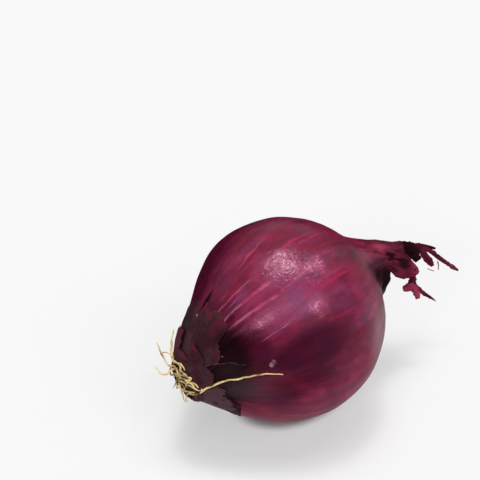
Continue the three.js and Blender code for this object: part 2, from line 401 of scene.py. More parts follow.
redVeins = [
    (-3, 10, 14, 6, 0.8, 0.7), (2, 13, 24, 7, 0.8, 0.5), (-18, 30, 4, 27, 0.8, 0.6),
    (-2, 39.5, 19, 39, 1.0, 0.5), (-14, -5, 4, -5, 0.6, 0.35), (-4, 57, 14, 60, 0.8, 0.3),
    (6, 20, 26, 17, 0.7, 0.2), (-8, 140, 12, 143, 0.8, 0.4), (-12, -60, 8, -64, 0.8, 0.4),
]

paleSpecks = [  # along, turn, radius, strength
    (-25.7, 67.5, 1.3, 0.7), (-24.6, 65.7, 1.0, 0.5), (-36.9, 42.5, 0.7, 0.6),
]

veinForm = {
    "bulbRadius": 33,  # about where the veins are
    "fadeIn": 3,
    "fadeOut": 5,
}


def veinMask(tree, along, turn, veins):
    # 1 on thin lines that fade at both ends
    total = 0
    for fromAlong, fromTurn, toAlong, toTurn, halfWidth, strength in veins:
        ends = {0: along, 1: fromAlong, 2: toAlong, 3: fromTurn, 4: toTurn}
        middle = addNode(tree, "MapRange", ends).outputs[0]
        away = calc(tree, "ABSOLUTE", calc(tree, "SUBTRACT", turn, middle))
        line = spanned(tree, away, 0, math.degrees(halfWidth / veinForm["bulbRadius"]), strength, 0)
        fadeIn = spanned(tree, along, fromAlong, fromAlong + veinForm["fadeIn"])
        fadeOut = spanned(tree, along, toAlong - veinForm["fadeOut"], toAlong, 1, 0)
        total = calc(tree, "ADD", times(tree, fadeIn, fadeOut, line), total)
    return total


def makeBulbSkin(colours):
    material, tree, shader = newMaterial("bulbSkin", Specular_IOR_Level=0.025, Coat_Roughness=0.17)
    place = objectPlace(tree)
    onSkin = readAttribute(tree, "skinPlace")
    upward, frontward, lengthwise = partsOf(tree, onSkin)
    # the dark and black zones hold painted shade as well as the skin's own dark colour
    dark, magenta, blackened = partsOf(tree, readAttribute(tree, "skinZones"))
    gloss, pale, bright = partsOf(tree, readAttribute(tree, "skinLight"))
    turnThere = calc(tree, "DEGREES", calc(tree, "ARCTAN2", frontward, upward))
    alongThere = times(tree, lengthwise, patternLength)
    patches = cloud(tree, place, 45, 3, 0.55)
    areas = cloud(tree, place, 70, 2)
    blotches = cloud(tree, place, 150, 3, 0.6)
    bands = cloud(tree, onSkin, (4, 4, 0.9))
    streaks = cloud(tree, onSkin, (13, 13, 3), 4, 0.55, 0.5)
    fine = cloud(tree, onSkin, (50, 50, 7), 3, 0.6)
    dust = cloud(tree, onSkin, (9, 9, 2.6), 4, 0.62)

    # ground colours in zones, with streaks from root to neck
    magentaShare = swayed(tree, swayed(tree, magenta, spanned(tree, bands, 0.35, 0.65), 0.7), blotches, 1)
    colour = blended(tree, spanned(tree, magentaShare, 0, 1), colours["crimson"], colours["magenta"])
    # the dark zone is partly darker skin and partly painted shade
    darkSkinAndShadeShare = spanned(tree, swayed(tree, dark, streaks, 0.6), 0.08, 1.05, 0, 0.95)
    colour = blended(tree, darkSkinAndShadeShare, colour, colours["deep"])
    shallow = spanned(tree, darkSkinAndShadeShare, 0.2, 0.9, 1, 0.1)
    vividShare = times(
        tree, spanned(tree, streaks, 0.52, 0.66, 0, 0.8), spanned(tree, areas, 0.5, 0.6), shallow,
        spanned(tree, turnThere, 50, 80, 1, 0.4), spanned(tree, alongThere, 6, 18, 1, 0.4),
    )
    colour = blended(tree, vividShare, colour, colours["vivid"])
    dullShare = times(
        tree, spanned(tree, streaks, 0.5, 0.38, 0, 0.7), spanned(tree, areas, 0.5, 0.4), shallow,
        spanned(tree, alongThere, -6, 5, 0.3, 1),
    )
    colour = blended(tree, dullShare, colour, colours["dull"])

    # veins, then grain and dust over them
    wobblyTurn = swayed(tree, turnThere, cloud(tree, place, 260, 2), 2.4)
    veinBreaks = spanned(tree, cloud(tree, place, 330, 2), 0.35, 0.6, 0.45, 1)
    reds = times(tree, veinMask(tree, alongThere, wobblyTurn, redVeins), veinBreaks)
    colour = blended(tree, reds, colour, colours["redVein"])
    veins = times(tree, veinMask(tree, alongThere, wobblyTurn, paleVeins), veinBreaks)
    colour = blended(tree, veins, colour, colours["vein"])
    grain = spanned(tree, fine, 0.3, 0.7, 0.92, 1.08)
    mottles = [spanned(tree, pattern, 0.3, 0.7, 0.84, 1.14) for pattern in (patches, blotches)]
    tint = addNode(tree, "CombineColor", {
        0: times(tree, grain, *mottles),
        1: times(tree, grain, spanned(tree, dust, 0.35, 0.65, 0.76, 1.26)),
        2: times(tree, grain, spanned(tree, dust, 0.35, 0.65, 0.83, 1.18)),
    }).outputs[0]
    colour = blended(tree, 1, colour, tint, "MULTIPLY")

    # painted highlights: a pale glow with tiny curls of painted glint, where the lamps' highlights fall
    paintedHighlightThere = spanned(tree, swayed(tree, bright, blotches, 0.8), 0.25, 1)
    colour = blended(tree, times(tree, paintedHighlightThere, 0.5), colour, colours["paintedGlow"])
    paintedGlints = times(
        tree, ridge(tree, cloud(tree, place, 520, 2, 0.6), 0.06),
        spanned(tree, cloud(tree, place, 300, 2), 0.45, 0.6),
        spanned(tree, paintedHighlightThere, 0.25, 0.9, 0, 0.8), spanned(tree, turnThere, 58, 72, 1, 0.1),
    )
    colour = blended(tree, paintedGlints, colour, colours["paintedGlint"])

    # black skin by the root end, with painted shade inside a slit and under the neck; then the pale marks
    # and painted sheen
    blackSkinAndShadeShare = spanned(tree, swayed(tree, blackened, streaks, 0.7), 0.15, 0.85)
    colour = blended(tree, blackSkinAndShadeShare, colour, colours["black"])
    for along, turn, radius, strength in paleSpecks:
        away = distanceTo(tree, place, skinPoint(along, turn))
        away = swayed(tree, away, cloud(tree, place, 900, 3), 3 * mm)
        pale = calc(tree, "MAXIMUM", pale, spanned(tree, away, radius * mm, 0, 0, strength))
    colour = blended(tree, pale, colour, colours["pale"])

    ribs = bumped(tree, calc(tree, "ADD", streaks, times(tree, veins, 0.3)), 0.06 * mm)
    wrinkles = times(tree, cloud(tree, place, 600, 1), spanned(tree, turnThere, 55, 75, 1, 0.25))
    feed(
        tree, shader, Base_Color=colour, Roughness=spanned(tree, blackSkinAndShadeShare, 0, 1, 0.36, 0.85), Normal=ribs,
        Coat_Weight=times(tree, gloss, spanned(tree, blackSkinAndShadeShare, 0, 0.8, 1, 0.15)),
        Coat_Normal=bumped(tree, wrinkles, 0.33 * mm, ribs),
    )
    return material


deadSkinColours = {
    "brown": (0.034, 0.009, 0.014, 1),
    "greyed": (0.054, 0.021, 0.027, 1),
    "crimson": (0.11, 0.011, 0.026, 1),
    "floorLitMauve": (0.1, 0.046, 0.062, 1),
    "shadow": (0.012, 0.004, 0.007, 1),
    "speck": (0.42, 0.32, 0.34, 1),
}


def makeDeadSkin(colours):
    material, tree, shader = newMaterial("deadSkin", Roughness=0.6, Specular_IOR_Level=0.05)
    place = objectPlace(tree)
    torn, dark, lit = partsOf(tree, readAttribute(tree, "sheetTone"))
    patches = cloud(tree, place, 110, 3, 0.6)
    spots = cloud(tree, place, 420, 3, 0.6)
    tints = cloud(tree, place, 230, 3, 0.6)
    fibres = cloud(tree, readAttribute(tree, "sheetPlace"), (30, 30, 6), 4, 0.6, 0.3)
    colour = blended(tree, spanned(tree, patches, 0.4, 0.6), colours["brown"], colours["greyed"])
    tornInPlaces = times(tree, torn, spanned(tree, cloud(tree, place, 140, 2), 0.45, 0.65, 0, 0.18))
    mixedTints = calc(tree, "ADD", times(tree, fibres, 0.4), times(tree, tints, 0.6))
    # crimson partly from painted light on the upper scrap's ridge and the back curl, partly the root-end
    # skin blending into the bulb
    crimsonShare = calc(tree, "ADD", calc(tree, "ADD", tornInPlaces, mixedTints), lit)
    colour = blended(tree, spanned(tree, crimsonShare, 0.52, 0.74, 0, 0.8), colour, colours["crimson"])
    # painted light from the floor: a paler mauve-grey where the lit tone is below zero
    colour = blended(tree, spanned(tree, lit, -0.1, -1), colour, colours["floorLitMauve"])
    darkShare = calc(tree, "ADD", dark, spanned(tree, spots, 0.6, 0.72, 0, 0.6))
    colour = blended(tree, spanned(tree, darkShare, 0, 1), colour, colours["shadow"])
    speck = spanned(tree, distanceTo(tree, place, skinPoint(-33.4, -15.6, 0.4)), 0.7 * mm, 0.3 * mm, 0, 0.7)
    colour = blended(tree, speck, colour, colours["speck"])
    pores = bumped(tree, cloud(tree, place, 1000, 3), 0.06 * mm, bumped(tree, fibres, 0.15 * mm))
    feed(tree, shader, Base_Color=colour, Normal=pores)
    return material


driedLeafColours = {
    "deep": (0.055, 0.006, 0.014, 1),
    "crimson": (0.13, 0.012, 0.032, 1),
    "fibre": (0.18, 0.022, 0.046, 1),
    "lit": (0.31, 0.04, 0.08, 1),
    "shadow": (0.014, 0.002, 0.004, 1),
    "straw": (0.42, 0.18, 0.06, 1),
}


def makeDriedLeaf(colours):
    material, tree, shader = newMaterial("driedLeaf", Roughness=0.7, Specular_IOR_Level=0.03)
    place = objectPlace(tree)
    dry, dark, lit = partsOf(tree, readAttribute(tree, "sheetTone"))
    patches = cloud(tree, place, 150, 3, 0.55)
    fibres = cloud(tree, readAttribute(tree, "sheetPlace"), (1, 9, 1), 4, 0.6)
    colour = blended(tree, spanned(tree, patches, 0.38, 0.62), colours["deep"], colours["crimson"])
    colour = blended(tree, spanned(tree, fibres, 0.5, 0.7, 0, 0.6), colour, colours["fibre"])
    for tone, pattern, sway, low, high, name in (
        (lit, patches, 0.8, 0.1, 0.9, "lit"), (dark, fibres, 0.6, 0.1, 0.9, "shadow"),
        (dry, patches, 1.2, 0.45, 0.95, "straw"),
    ):
        share = spanned(tree, swayed(tree, tone, pattern, sway), low, high)
        colour = blended(tree, share, colour, colours[name])
    pores = bumped(tree, cloud(tree, place, 1300, 3), 0.05 * mm, bumped(tree, fibres, 0.2 * mm))
    feed(tree, shader, Base_Color=colour, Normal=pores)
    return material


corkColours = {
    "dark": (0.012, 0.005, 0.006, 1),
    "light": (0.055, 0.028, 0.018, 1),
}


def makeCork(colours):
    material, tree, shader = newMaterial("cork", Roughness=0.85, Specular_IOR_Level=0.2)
    grain = cloud(tree, objectPlace(tree), 900, 4, 0.65)
    colour = blended(tree, spanned(tree, grain, 0.35, 0.65), colours["dark"], colours["light"])
    feed(tree, shader, Base_Color=colour, Normal=bumped(tree, grain, 0.3 * mm))
    return material


rootColours = {
    "tan": (0.48, 0.31, 0.085, 1),
    "straw": (0.91, 0.69, 0.32, 1),
    "pale": (0.92, 0.78, 0.44, 1),
    "brown": (0.14, 0.08, 0.03, 1),
}


def makeRootFibre(colours):
    material, tree, shader = newMaterial("rootFibre", Roughness=0.5, Specular_IOR_Level=0.4)
    place = objectPlace(tree)
    patches = cloud(tree, place, 260, 3)
    grain = cloud(tree, place, 1600, 3, 0.6)
    colour = blended(tree, spanned(tree, patches, 0.35, 0.6), colours["tan"], colours["straw"])
    colour = blended(tree, spanned(tree, grain, 0.55, 0.75, 0, 0.6), colour, colours["pale"])
    colour = blended(tree, spanned(tree, patches, 0.42, 0.34, 0, 0.8), colour, colours["brown"])
    feed(tree, shader, Base_Color=colour, Normal=bumped(tree, grain, 0.12 * mm))
    return material


bulbSkin = makeBulbSkin(skinColours)
deadSkin = makeDeadSkin(deadSkinColours)
driedLeaf = makeDriedLeaf(driedLeafColours)
cork = makeCork(corkColours)
rootFibre = makeRootFibre(rootColours)
print("materials made")


def rayShare(tree, share):
    # a share for the rays that look at the room, and none for the rays that light it
    rays = addNode(tree, "LightPath", {}).outputs
    seen = calc(tree, "MAXIMUM", rays["Is Camera Ray"], rays["Is Glossy Ray"])
    return times(tree, calc(tree, "MAXIMUM", seen, rays["Is Transmission Ray"]), share)


floorPiece = {
    "size": 12,
    "colour": (0.875, 0.857, 0.89, 1),
    "white": (0.915, 0.928, 0.915, 1),
    "lifted": 0.5,  # how far it is lifted towards white, away from the dark shadow under the onion
    "shadowLength": 23,  # half the length and width of that shadow
    "shadowWidth": 18,
    "shadowShift": -0.09,  # a share of its length
}


def makeFloor(piece):
    deselectAll()
    bpy.ops.mesh.primitive_plane_add(size=piece["size"])
    floor = bpy.context.object
    floor.name = "floor"
    material, tree, shader = newMaterial("paleFloor", Roughness=0.9, Specular_IOR_Level=0.1)
    shader.inputs["Base Color"].default_value = piece["colour"]
    white = addNode(tree, "Emission", {"Color": piece["white"], "Strength": 1}).outputs[0]
    scale = (1 / (piece["shadowLength"] * mm), 1 / (piece["shadowWidth"] * mm), 0)
    placing = {"Vector": objectPlace(tree), "Location": (piece["shadowShift"], 0, 0), "Scale": scale}
    fromOnion = distanceTo(tree, addNode(tree, "Mapping", placing).outputs[0], (0, 0, 0))
    lift = times(tree, spanned(tree, fromOnion, 0.84, 1.14), piece["lifted"])
    mixed = addNode(tree, "MixShader", {0: rayShare(tree, lift), 1: shader.outputs[0], 2: white}).outputs[0]
    tree.links.new(mixed, tree.nodes["Material Output"].inputs["Surface"])
    floor.data.materials.append(material)


flags = [  # dark cards that only reflections show, on the far side: centre, the way they face, width, height
    {"centre": (0, 50, 40), "facing": -90, "width": 90, "height": 80},
    {"centre": (42, 30, 40), "facing": -144, "width": 56, "height": 80},
]


def makeFlag(flag):
    deselectAll()
    turned = (math.pi / 2, 0, math.radians(flag["facing"] + 90))
    bpy.ops.mesh.primitive_plane_add(size=1, location=Vector(flag["centre"]) * mm, rotation=turned)
    card = bpy.context.object
    card.name = "flag"
    card.scale = (flag["width"] * mm, flag["height"] * mm, 1)
    dark = (0.05, 0.01, 0.02, 1)
    material = newMaterial("darkCard", Base_Color=dark, Roughness=0.9, Specular_IOR_Level=0)[0]
    card.data.materials.append(material)
    for ray in ("camera", "diffuse", "transmission", "shadow"):
        setattr(card, "visible_" + ray, False)


suns = [  # azimuth, elevation, then the width and strength of a soft lamp and of its brighter middle
    (52, 81, 34, 1.4, 10, 0.6),
    (-78, 43, 30, 0.24, 14, 0.15),
    (-114, 39, 24, 0.3, 7, 0.02),
    (-22, 62, 16, 0.05, 8, 0.15),
    (-151, 30, 24, 0.18, 8, 0.24),
]


def makeSun(azimuth, elevation, width, strength, middleWidth, middleStrength):
    towards = directionTo(azimuth, elevation)
    for angle, energy in ((width, strength), (middleWidth, middleStrength)):
        bpy.ops.object.light_add(type="SUN", location=towards)
        lamp = bpy.context.object
        lamp.rotation_euler = towards.to_track_quat("Z", "Y").to_euler()
        lamp.data.angle = math.radians(angle)
        lamp.data.energy = energy


def makeWorld(fill, backdrop):
    world = bpy.data.worlds.new("room")
    bpy.context.scene.world = world
    world.use_nodes = True
    tree = world.node_tree
    strength = calc(tree, "ADD", rayShare(tree, backdrop - fill), fill)
    tree.links.new(strength, tree.nodes["Background"].inputs["Strength"])
    tree.nodes["Background"].inputs["Color"].default_value = (1, 1, 1, 1)


makeFloor(floorPiece)
for flag in flags:
    makeFlag(flag)
for sun in suns:
    makeSun(*sun)
makeWorld(fill=0.22, backdrop=0.95)
bpy.context.scene.view_settings.view_transform = "Standard"
print("floor, lights and world made")


bulbPiece = {
    "sides": 96,
    "ringStep": 1.5,
    "ringShrink": 0.97,  # how much a ring shrinks as it is smoothed
    "wave": 0.25,  # slow swells of the surface, and how long they are
    "waveLength": 28,
    "ribs": 0.1,  # low ribs from root to neck
    "pleats": 0.65,  # folds where the shoulder runs into the neck
    "pleatsFrom": 26,
    "pleatsTo": 44,
    "neckTop": 51,
    "neckRim": [  # turn, along: where the skin ends
        (-180, 42), (-120, 44), (-60, 46), (40, 47), (59, 46.8), (71, 46.1), (79, 45.2), (91, 44.3),
        (97, 42.6), (102, 40.6), (115, 38.6), (140, 39), (180, 42),
    ],
    "rimWidth": 1.6,
    "coreRadius": 3,
    # darker skin and painted shade: lower front band, far side, under the neck, and beside the root-end
    # skin's edge
    "darkSpots": [  # along, turn, spread along, spread of turn, amount
        (-13, 67, 19, 12, 1.45), (-13, 48, 5, 5, 0.3), (-12, 5, 7, 8, 0.3), (-11, -10, 6, 8, 0.4),
        (-15, 29, 7, 8, 0.5), (-27, 29, 4, 6, 0.7), (36, 18, 6, 12, 0.45), (-14, 82, 14, 15, 0.9),
        (-26, 93, 11, 22, 0.95), (2, 77, 7, 10, 0.6), (13, 41, 6, 6, 0.4), (1, 63, 9, 7, 0.6),
        (-30, 56, 8, 26, 1.4), (-36, 40, 7, 13, 1.3), (-14, -57, 42, 35, 1.9), (0, -12, 13, 10, 0.25),
        (24, 28, 6, 12, 0.8), (-30.5, -3, 5, 20, 0.9), (-27, 17, 5, 13, 0.75),
        (-28.8, 19.5, 2.2, 6, 1.25), (-23, 28, 4, 5, 0.6), (-9, -26, 10, 12, 0.5), (27, -10, 8, 18, 0.3),
        (-2, -12, 8, 7, 0.6), (8, -15, 14, 7, 0.4), (16, -7, 7, 7, 0.6), (38, 62, 7, 24, 1.9),
        (38, 84, 9, 24, 1.9), (31, 48, 6, 11, 1.0), (26, 55, 5, 7, 0.5), (40, 140, 12, 60, 1.6),
        (16, 12, 6, 3, 0.5), (10, 19, 6, 3, 0.35), (18.6, 21, 6, 5, 0.45), (-12, 118, 18, 12, 0.4),
        (4, 180, 26, 40, 0.5), (10, -120, 20, 20, 0.4),
    ],
    "magentaSpots": [
        (-8, 36, 20, 20, 1.1), (6, 48, 12, 12, 0.8), (4, 88, 16, 12, 0.5), (-24, 18, 8, 10, 0.7),
        (12, 20, 10, 14, 0.5), (-12, -2, 10, 9, 0.35), (14, 67, 8, 10, 0.4), (-4, 160, 18, 26, 0.6),
        (-2, -90, 16, 30, 0.5),
    ],
    "leastGloss": 0.02,
    "glossSpots": [
        (-4, 18, 14, 18, 0.36), (-19, 37, 6, 6, 0.24), (-3, 47, 9, 7, 0.36), (-11, 40, 9, 7, 0.2),
        (6, 27, 8, 11, 0.45), (-16, 4, 14, 14, 0.15), (12, 4, 10, 14, 0.12), (0, -90, 20, 40, 0.3),
        (0, 180, 20, 30, 0.25), (18, 81, 7, 20, 0.36),
    ],
    "blackTo": [  # turn, along: the skin is blackened from the root end up to here
        (-180, -42), (-130, -38), (-90, -36), (-60, -35), (-20, -36), (14, -37), (19, -32), (24, -29.3),
        (30, -27.8), (38, -27.2), (45, -28), (56, -29.5), (66, -31), (76, -31), (90, -31), (104, -34),
        (116, -38), (130, -44), (150, -42), (180, -42),
    ],
    "blackAmount": [(-180, 1), (20, 0.9), (29, 0.8), (48, 0.8), (58, 1), (180, 1)],
    "blackFade": [(-180, 5), (0, 4), (34, 5), (56, 6), (80, 9), (104, 8), (180, 6)],
    # black skin and painted shade: inside the root-end skin's slit, under the neck and on its far side, and
    # round the neck's core
    "blackSpots": [
        (-29.3, -12, 4.5, 3.2, 1.0), (40, 76, 6, 26, 1.0), (35, 60, 6, 12, 0.85), (31, 46, 5, 8, 0.35),
        (44, 140, 8, 60, 0.8), (51, 0, 4, 180, 0.9),
    ],
    # painted sheen and reflection: paler patches between the highlights and on the lower flank
    "paleSpots": [
        (-34, 88, 7, 18, 0.1), (-37, 62, 5, 12, 0.03), (9, 84, 16, 24, 0.045), (20, 75, 6, 9, 0.09),
        (-14, 38, 7, 5, 0.05), (20, 42, 7, 12, 0.035), (-19, 116, 14, 14, 0.05), (-9, 109, 12, 12, 0.03),
        (6, -14, 8, 8, 0.04),
    ],
    # where highlights are painted into the skin's colour, through its third light channel
    "brightSpots": [
        (-4.7, 16, 10, 11, 1.0), (4.5, 27, 6, 7, 0.9), (-4, 47, 7, 6, 0.8), (-22, 38, 5, 4, 1.0),
        (-12, 42, 8, 6, 0.3), (8, 36, 6, 5, 0.3), (16, 89, 8, 13, 0.8), (4, 88, 10, 8, 0.3),
    ],
    "trims": [(34.5, 112, 4.5, 42, 2.2), (22, 90, 11, 34, 0.9)],  # where a little is taken off
}


def spotShare(spots, along, turn):
    total = 0
    for spotAlong, spotTurn, alongSpread, turnSpread, amount in spots:
        share = bell(along - spotAlong, alongSpread) * bell(turnGap(turn, spotTurn), turnSpread)
        total = max(total, amount * share)
    return total


def neckRadius(along, turn, piece):
    # the visible neck, which ends in a torn rim round a sunken core
    full = radiusAt(along) - dipAt(along, turn)
    rim = knotAt(piece["neckRim"], turn) + waverRound(turn, 5, 2) * 0.5
    return full + (piece["coreRadius"] - full) * smoothStep(along, rim, rim + piece["rimWidth"])


def bulbDetail(along, turn, piece):
    depth = along / patternLength
    swell = noise.noise(spokePoint(along, turn, 30) / (piece["waveLength"] * mm)) * piece["wave"]
    ribs = waverRound(turn, 9, depth * 0.8) * piece["ribs"] * 2
    fold = waverRound(turn, 3.4, depth * 0.9, 7) + 0.5 * waverRound(turn, 8, depth * 1.2, 3)
    folded = smoothStep(along, piece["pleatsFrom"], piece["pleatsTo"])
    trim = spotShare(piece["trims"], along, turn)
    return swell * (1 - folded) + ribs + fold * folded * piece["pleats"] * 2 - trim


def addSkinData(piece, spots, settings):
    # what the skin's material reads: its place, its colour zones with their painted shade, its gloss, its
    # pale marks with painted sheen, and where highlights are painted
    places = []
    zones = []
    lights = []
    kinds = ("dark", "magenta", "black", "gloss", "pale", "bright")
    for along, turn in spots:
        dark, magenta, black, gloss, pale, bright = (
            spotShare(settings[kind + "Spots"], along, turn) for kind in kinds
        )
        fade = knotAt(settings["blackFade"], turn)
        blackened = 1 - smoothStep(along - knotAt(settings["blackTo"], turn), -fade, fade)
        places.extend(meridian(along, turn))
        zones.extend((dark, magenta, max(black, blackened * knotAt(settings["blackAmount"], turn))))
        lights.extend((settings["leastGloss"] + gloss, pale, bright))
    setVectors(piece, skinPlace=places, skinZones=zones, skinLight=lights)


def makeBulb(piece):
    # rings extruded one by one from the root end, scaled to the outline, then shaped point by point
    start, end = onionForm["rootEnd"], piece["neckTop"]
    bulb = addRing(piece["sides"], radiusAt(start), start)
    rings = round((end - start) / piece["ringStep"])
    step = (end - start) / rings
    for i in range(rings):
        along = start + (i + 1) * step
        grow = radiusAt(along) / radiusAt(along - step)
        bpy.ops.mesh.extrude_edges_move(TRANSFORM_OT_translate={"value": (step * mm, 0, 0)})
        bpy.ops.transform.resize(value=(1, grow, grow), center_override=(along * mm, 0, 0))
    bpy.ops.mesh.select_all(action="SELECT")
    bpy.ops.mesh.fill_holes(sides=0)
    turnFacesOut()
    bpy.ops.object.mode_set(mode="OBJECT")
    applyModifier(bulb, "SUBSURF", levels=1, render_levels=1)
    spots = []
    for vertex in bulb.data.vertices:
        x, y, z = vertex.co / mm
        along = min(max(x, start), end)
        turn = math.degrees(math.atan2(-y, z))
        share = min(1, math.hypot(y, z) / radiusAt(along) / piece["ringShrink"])
        radius = neckRadius(along, turn, piece) + bulbDetail(along, turn, piece)
        vertex.co = spokePoint(along, turn, share * radius)
        vertex.co.z = max(vertex.co.z, 0)  # the flat spot it rests on
        spots.append((along, turn))
    addSkinData(bulb, spots, piece)
    finishPiece(bulb, "bulbGlobe", bulbSkin, "bulb_skin", "bulb")


makeBulb(bulbPiece)
print("bulb made")


def shapeSheet(columns, rows, place, thickness):
    # a flat grid whose points go where place says, which gives a point, its place on the sheet and its tone
    deselectAll()
    bpy.ops.mesh.primitive_grid_add(x_subdivisions=columns, y_subdivisions=rows, size=1)
    sheet = bpy.context.object
    places = []
    tones = []
    for vertex in sheet.data.vertices:
        vertex.co, onSheet, tone = place(vertex.co.x + 0.5, vertex.co.y + 0.5)
        places.extend(onSheet)
        tones.extend(tone)
    setVectors(sheet, sheetPlace=places, sheetTone=tones)
    applyModifier(sheet, "SOLIDIFY", thickness=thickness * mm, offset=0)
    return sheet


def patchPoint(rows, share, reach):
    # a point on a smooth patch through rows of knots
    across = [curveThrough(row, share * (len(row) - 1)) for row in rows]
    return curveThrough(across, reach * (len(rows) - 1))


def raggedShare(share, reach, ragged, seed):
    # pulls the outline of a patch in unevenly
    pull = ragged * (0.5 + 0.7 * waver(reach * 6, seed * 3.3, 1) + 0.5 * waver(reach * 17, seed, 4))
    return 0.5 + (share - 0.5) * (1 - max(0, pull))


rootEndSkin = {
    "sides": 300,
    "rows": 20,
    "lipRows": 4,  # rows that turn in over the root plate
    "lipRadius": 6.6,
    "lipRag": 1.6,
    "lipAlong": -46.7,
    "lift": 0.22,  # how far it stands off the bulb
    "edgeLift": [  # turn, how far the torn edge stands up
        (-180, 0.5), (-85, 0.35), (-55, 0.06), (0, 0.05), (18, 0.15), (25, 0.6), (40, 0.5), (55, 0.2),
        (88, 0.3), (112, 0.7), (135, 0.5), (180, 0.5),
    ],
    "jag": 0.5,  # how ragged the torn edge is
    "curl": 2.5,  # how much of the edge stands up
    "crumple": 0.22,
    "tucked": 0.12,  # how far the edge is tucked in all round
    "sunk": 0.26,  # on the upper side the edge sinks into the bulb's skin
    "thickness": 0.16,
    "tornEdge": [  # turn, along
        (-180, -33), (-160, -29.5), (-140, -32), (-118, -28), (-95, -30), (-70, -27), (-50, -27.3),
        (-31, -28.4), (-11, -28.9), (4, -29.8), (10, -29.3), (13, -30.3), (17, -29.8), (20, -31.3),
        (22, -30.1), (24, -30.9), (26, -31.4), (27, -33.6), (28.5, -35.6), (35, -36.3), (39, -36.7),
        (45, -37.8), (47, -38.7), (51, -41.2), (60, -42.2), (74, -42.2), (82, -40.5), (87, -39.7),
        (96, -39.8), (106, -38.1), (114, -36.3), (135, -35), (156, -32.5), (180, -33),
    ],
    "slitSlant": 0.28,  # how far a slit turns for each step along
    "slits": [  # along, turn, half length, half width
        (-30, -13, 4.2, 0.75), (-34, -92, 2.2, 0.4), (-36, 168, 2.4, 0.45), (-33.5, -150, 2.0, 0.5),
        (-42.6, 118, 1.2, 0.5),
    ],
}


def makeRootEndSkin(piece):
    # a tube extruded row by row, bent round the root end, with its slits cut out and then given a thickness
    start, lipRows = onionForm["rootEnd"], piece["lipRows"]
    skin = addRing(piece["sides"], radiusAt(start), 0)
    for i in range(piece["rows"]):
        bpy.ops.mesh.extrude_edges_move(TRANSFORM_OT_translate={"value": (mm, 0, 0)})
    turnFacesOut()
    bpy.ops.mesh.select_all(action="DESELECT")
    bpy.ops.object.mode_set(mode="OBJECT")
    places = []
    spots = []
    tones = []
    for vertex in skin.data.vertices:
        row = round(vertex.co.x / mm)
        turn = math.degrees(math.atan2(-vertex.co.y, vertex.co.z))
        rag = waverRound(turn, 22, 3) + waverRound(turn, 60, 9)
        end = knotAt(piece["tornEdge"], turn) + rag * piece["jag"]
        reach = max(0, row - lipRows) / (piece["rows"] - lipRows)
        along = start + (end - start) * reach
        curl = smoothStep(along, end - piece["curl"], end) * (0.8 + waverRound(turn, 6, 5))
        lift = piece["lift"] + waverRound(turn, 14, along / 7) * piece["crumple"]
        lift += max(0, curl) * knotAt(piece["edgeLift"], turn) + bulbDetail(along, turn, bulbPiece)
        lift -= piece["tucked"] * smoothStep(reach, 0.7, 1)
        lift -= piece["sunk"] * smoothStep(abs(turnGap(turn, -15)), 42, 32) * smoothStep(reach, 0.8, 1)
        if row < lipRows:
            quarter = row / lipRows * math.pi / 2
            inner = piece["lipRadius"] + waverRound(turn, 4, 11) * piece["lipRag"]
            radius = inner + (radiusAt(start) + lift - inner) * math.sin(quarter)
            lipPlace = start - 0.2 + (piece["lipAlong"] - start) * math.cos(quarter)
            vertex.co = spokePoint(lipPlace, turn, radius)
        else:
            vertex.co = skinPoint(along, turn, lift)
        places.extend(meridian(along, turn))
        spots.append((along, turn))
        merging = smoothStep(reach, 0.5, 1) * smoothStep(abs(turnGap(turn, -25)), 60, 40)
        shaded = max(
            0.3 * smoothStep(row, 3, 0), 0.45 * smoothStep(abs(turnGap(turn, -55)), 48, 22),
            0.8 * bell(turnGap(turn, 28), 9) * bell(along + 33.5, 3.5),
        )
        tones.extend((smoothStep(reach, 0.75, 1), shaded, merging * 0.12))
    setVectors(skin, sheetPlace=places, sheetTone=tones)
    for face in skin.data.polygons:
        along = sum(spots[i][0] for i in face.vertices) / len(face.vertices)
        turn = spots[face.vertices[0]][1]
        for slitAlong, slitTurn, halfLength, halfWidth in piece["slits"]:
            ahead = along - slitAlong
            aside = math.radians(turnGap(turn, slitTurn)) * radiusAt(along) - ahead * piece["slitSlant"]
            if (ahead / halfLength) ** 2 + (aside / halfWidth) ** 2 < 1:
                face.select = True
    bpy.ops.object.mode_set(mode="EDIT")
    bpy.ops.mesh.select_mode(type="FACE")
    bpy.ops.mesh.delete(type="FACE")
    bpy.ops.object.mode_set(mode="OBJECT")
    applyModifier(skin, "SOLIDIFY", thickness=piece["thickness"] * mm, offset=0)
    finishPiece(skin, "rootEndSkin", deadSkin, "outer_skin", "root_end_skin")
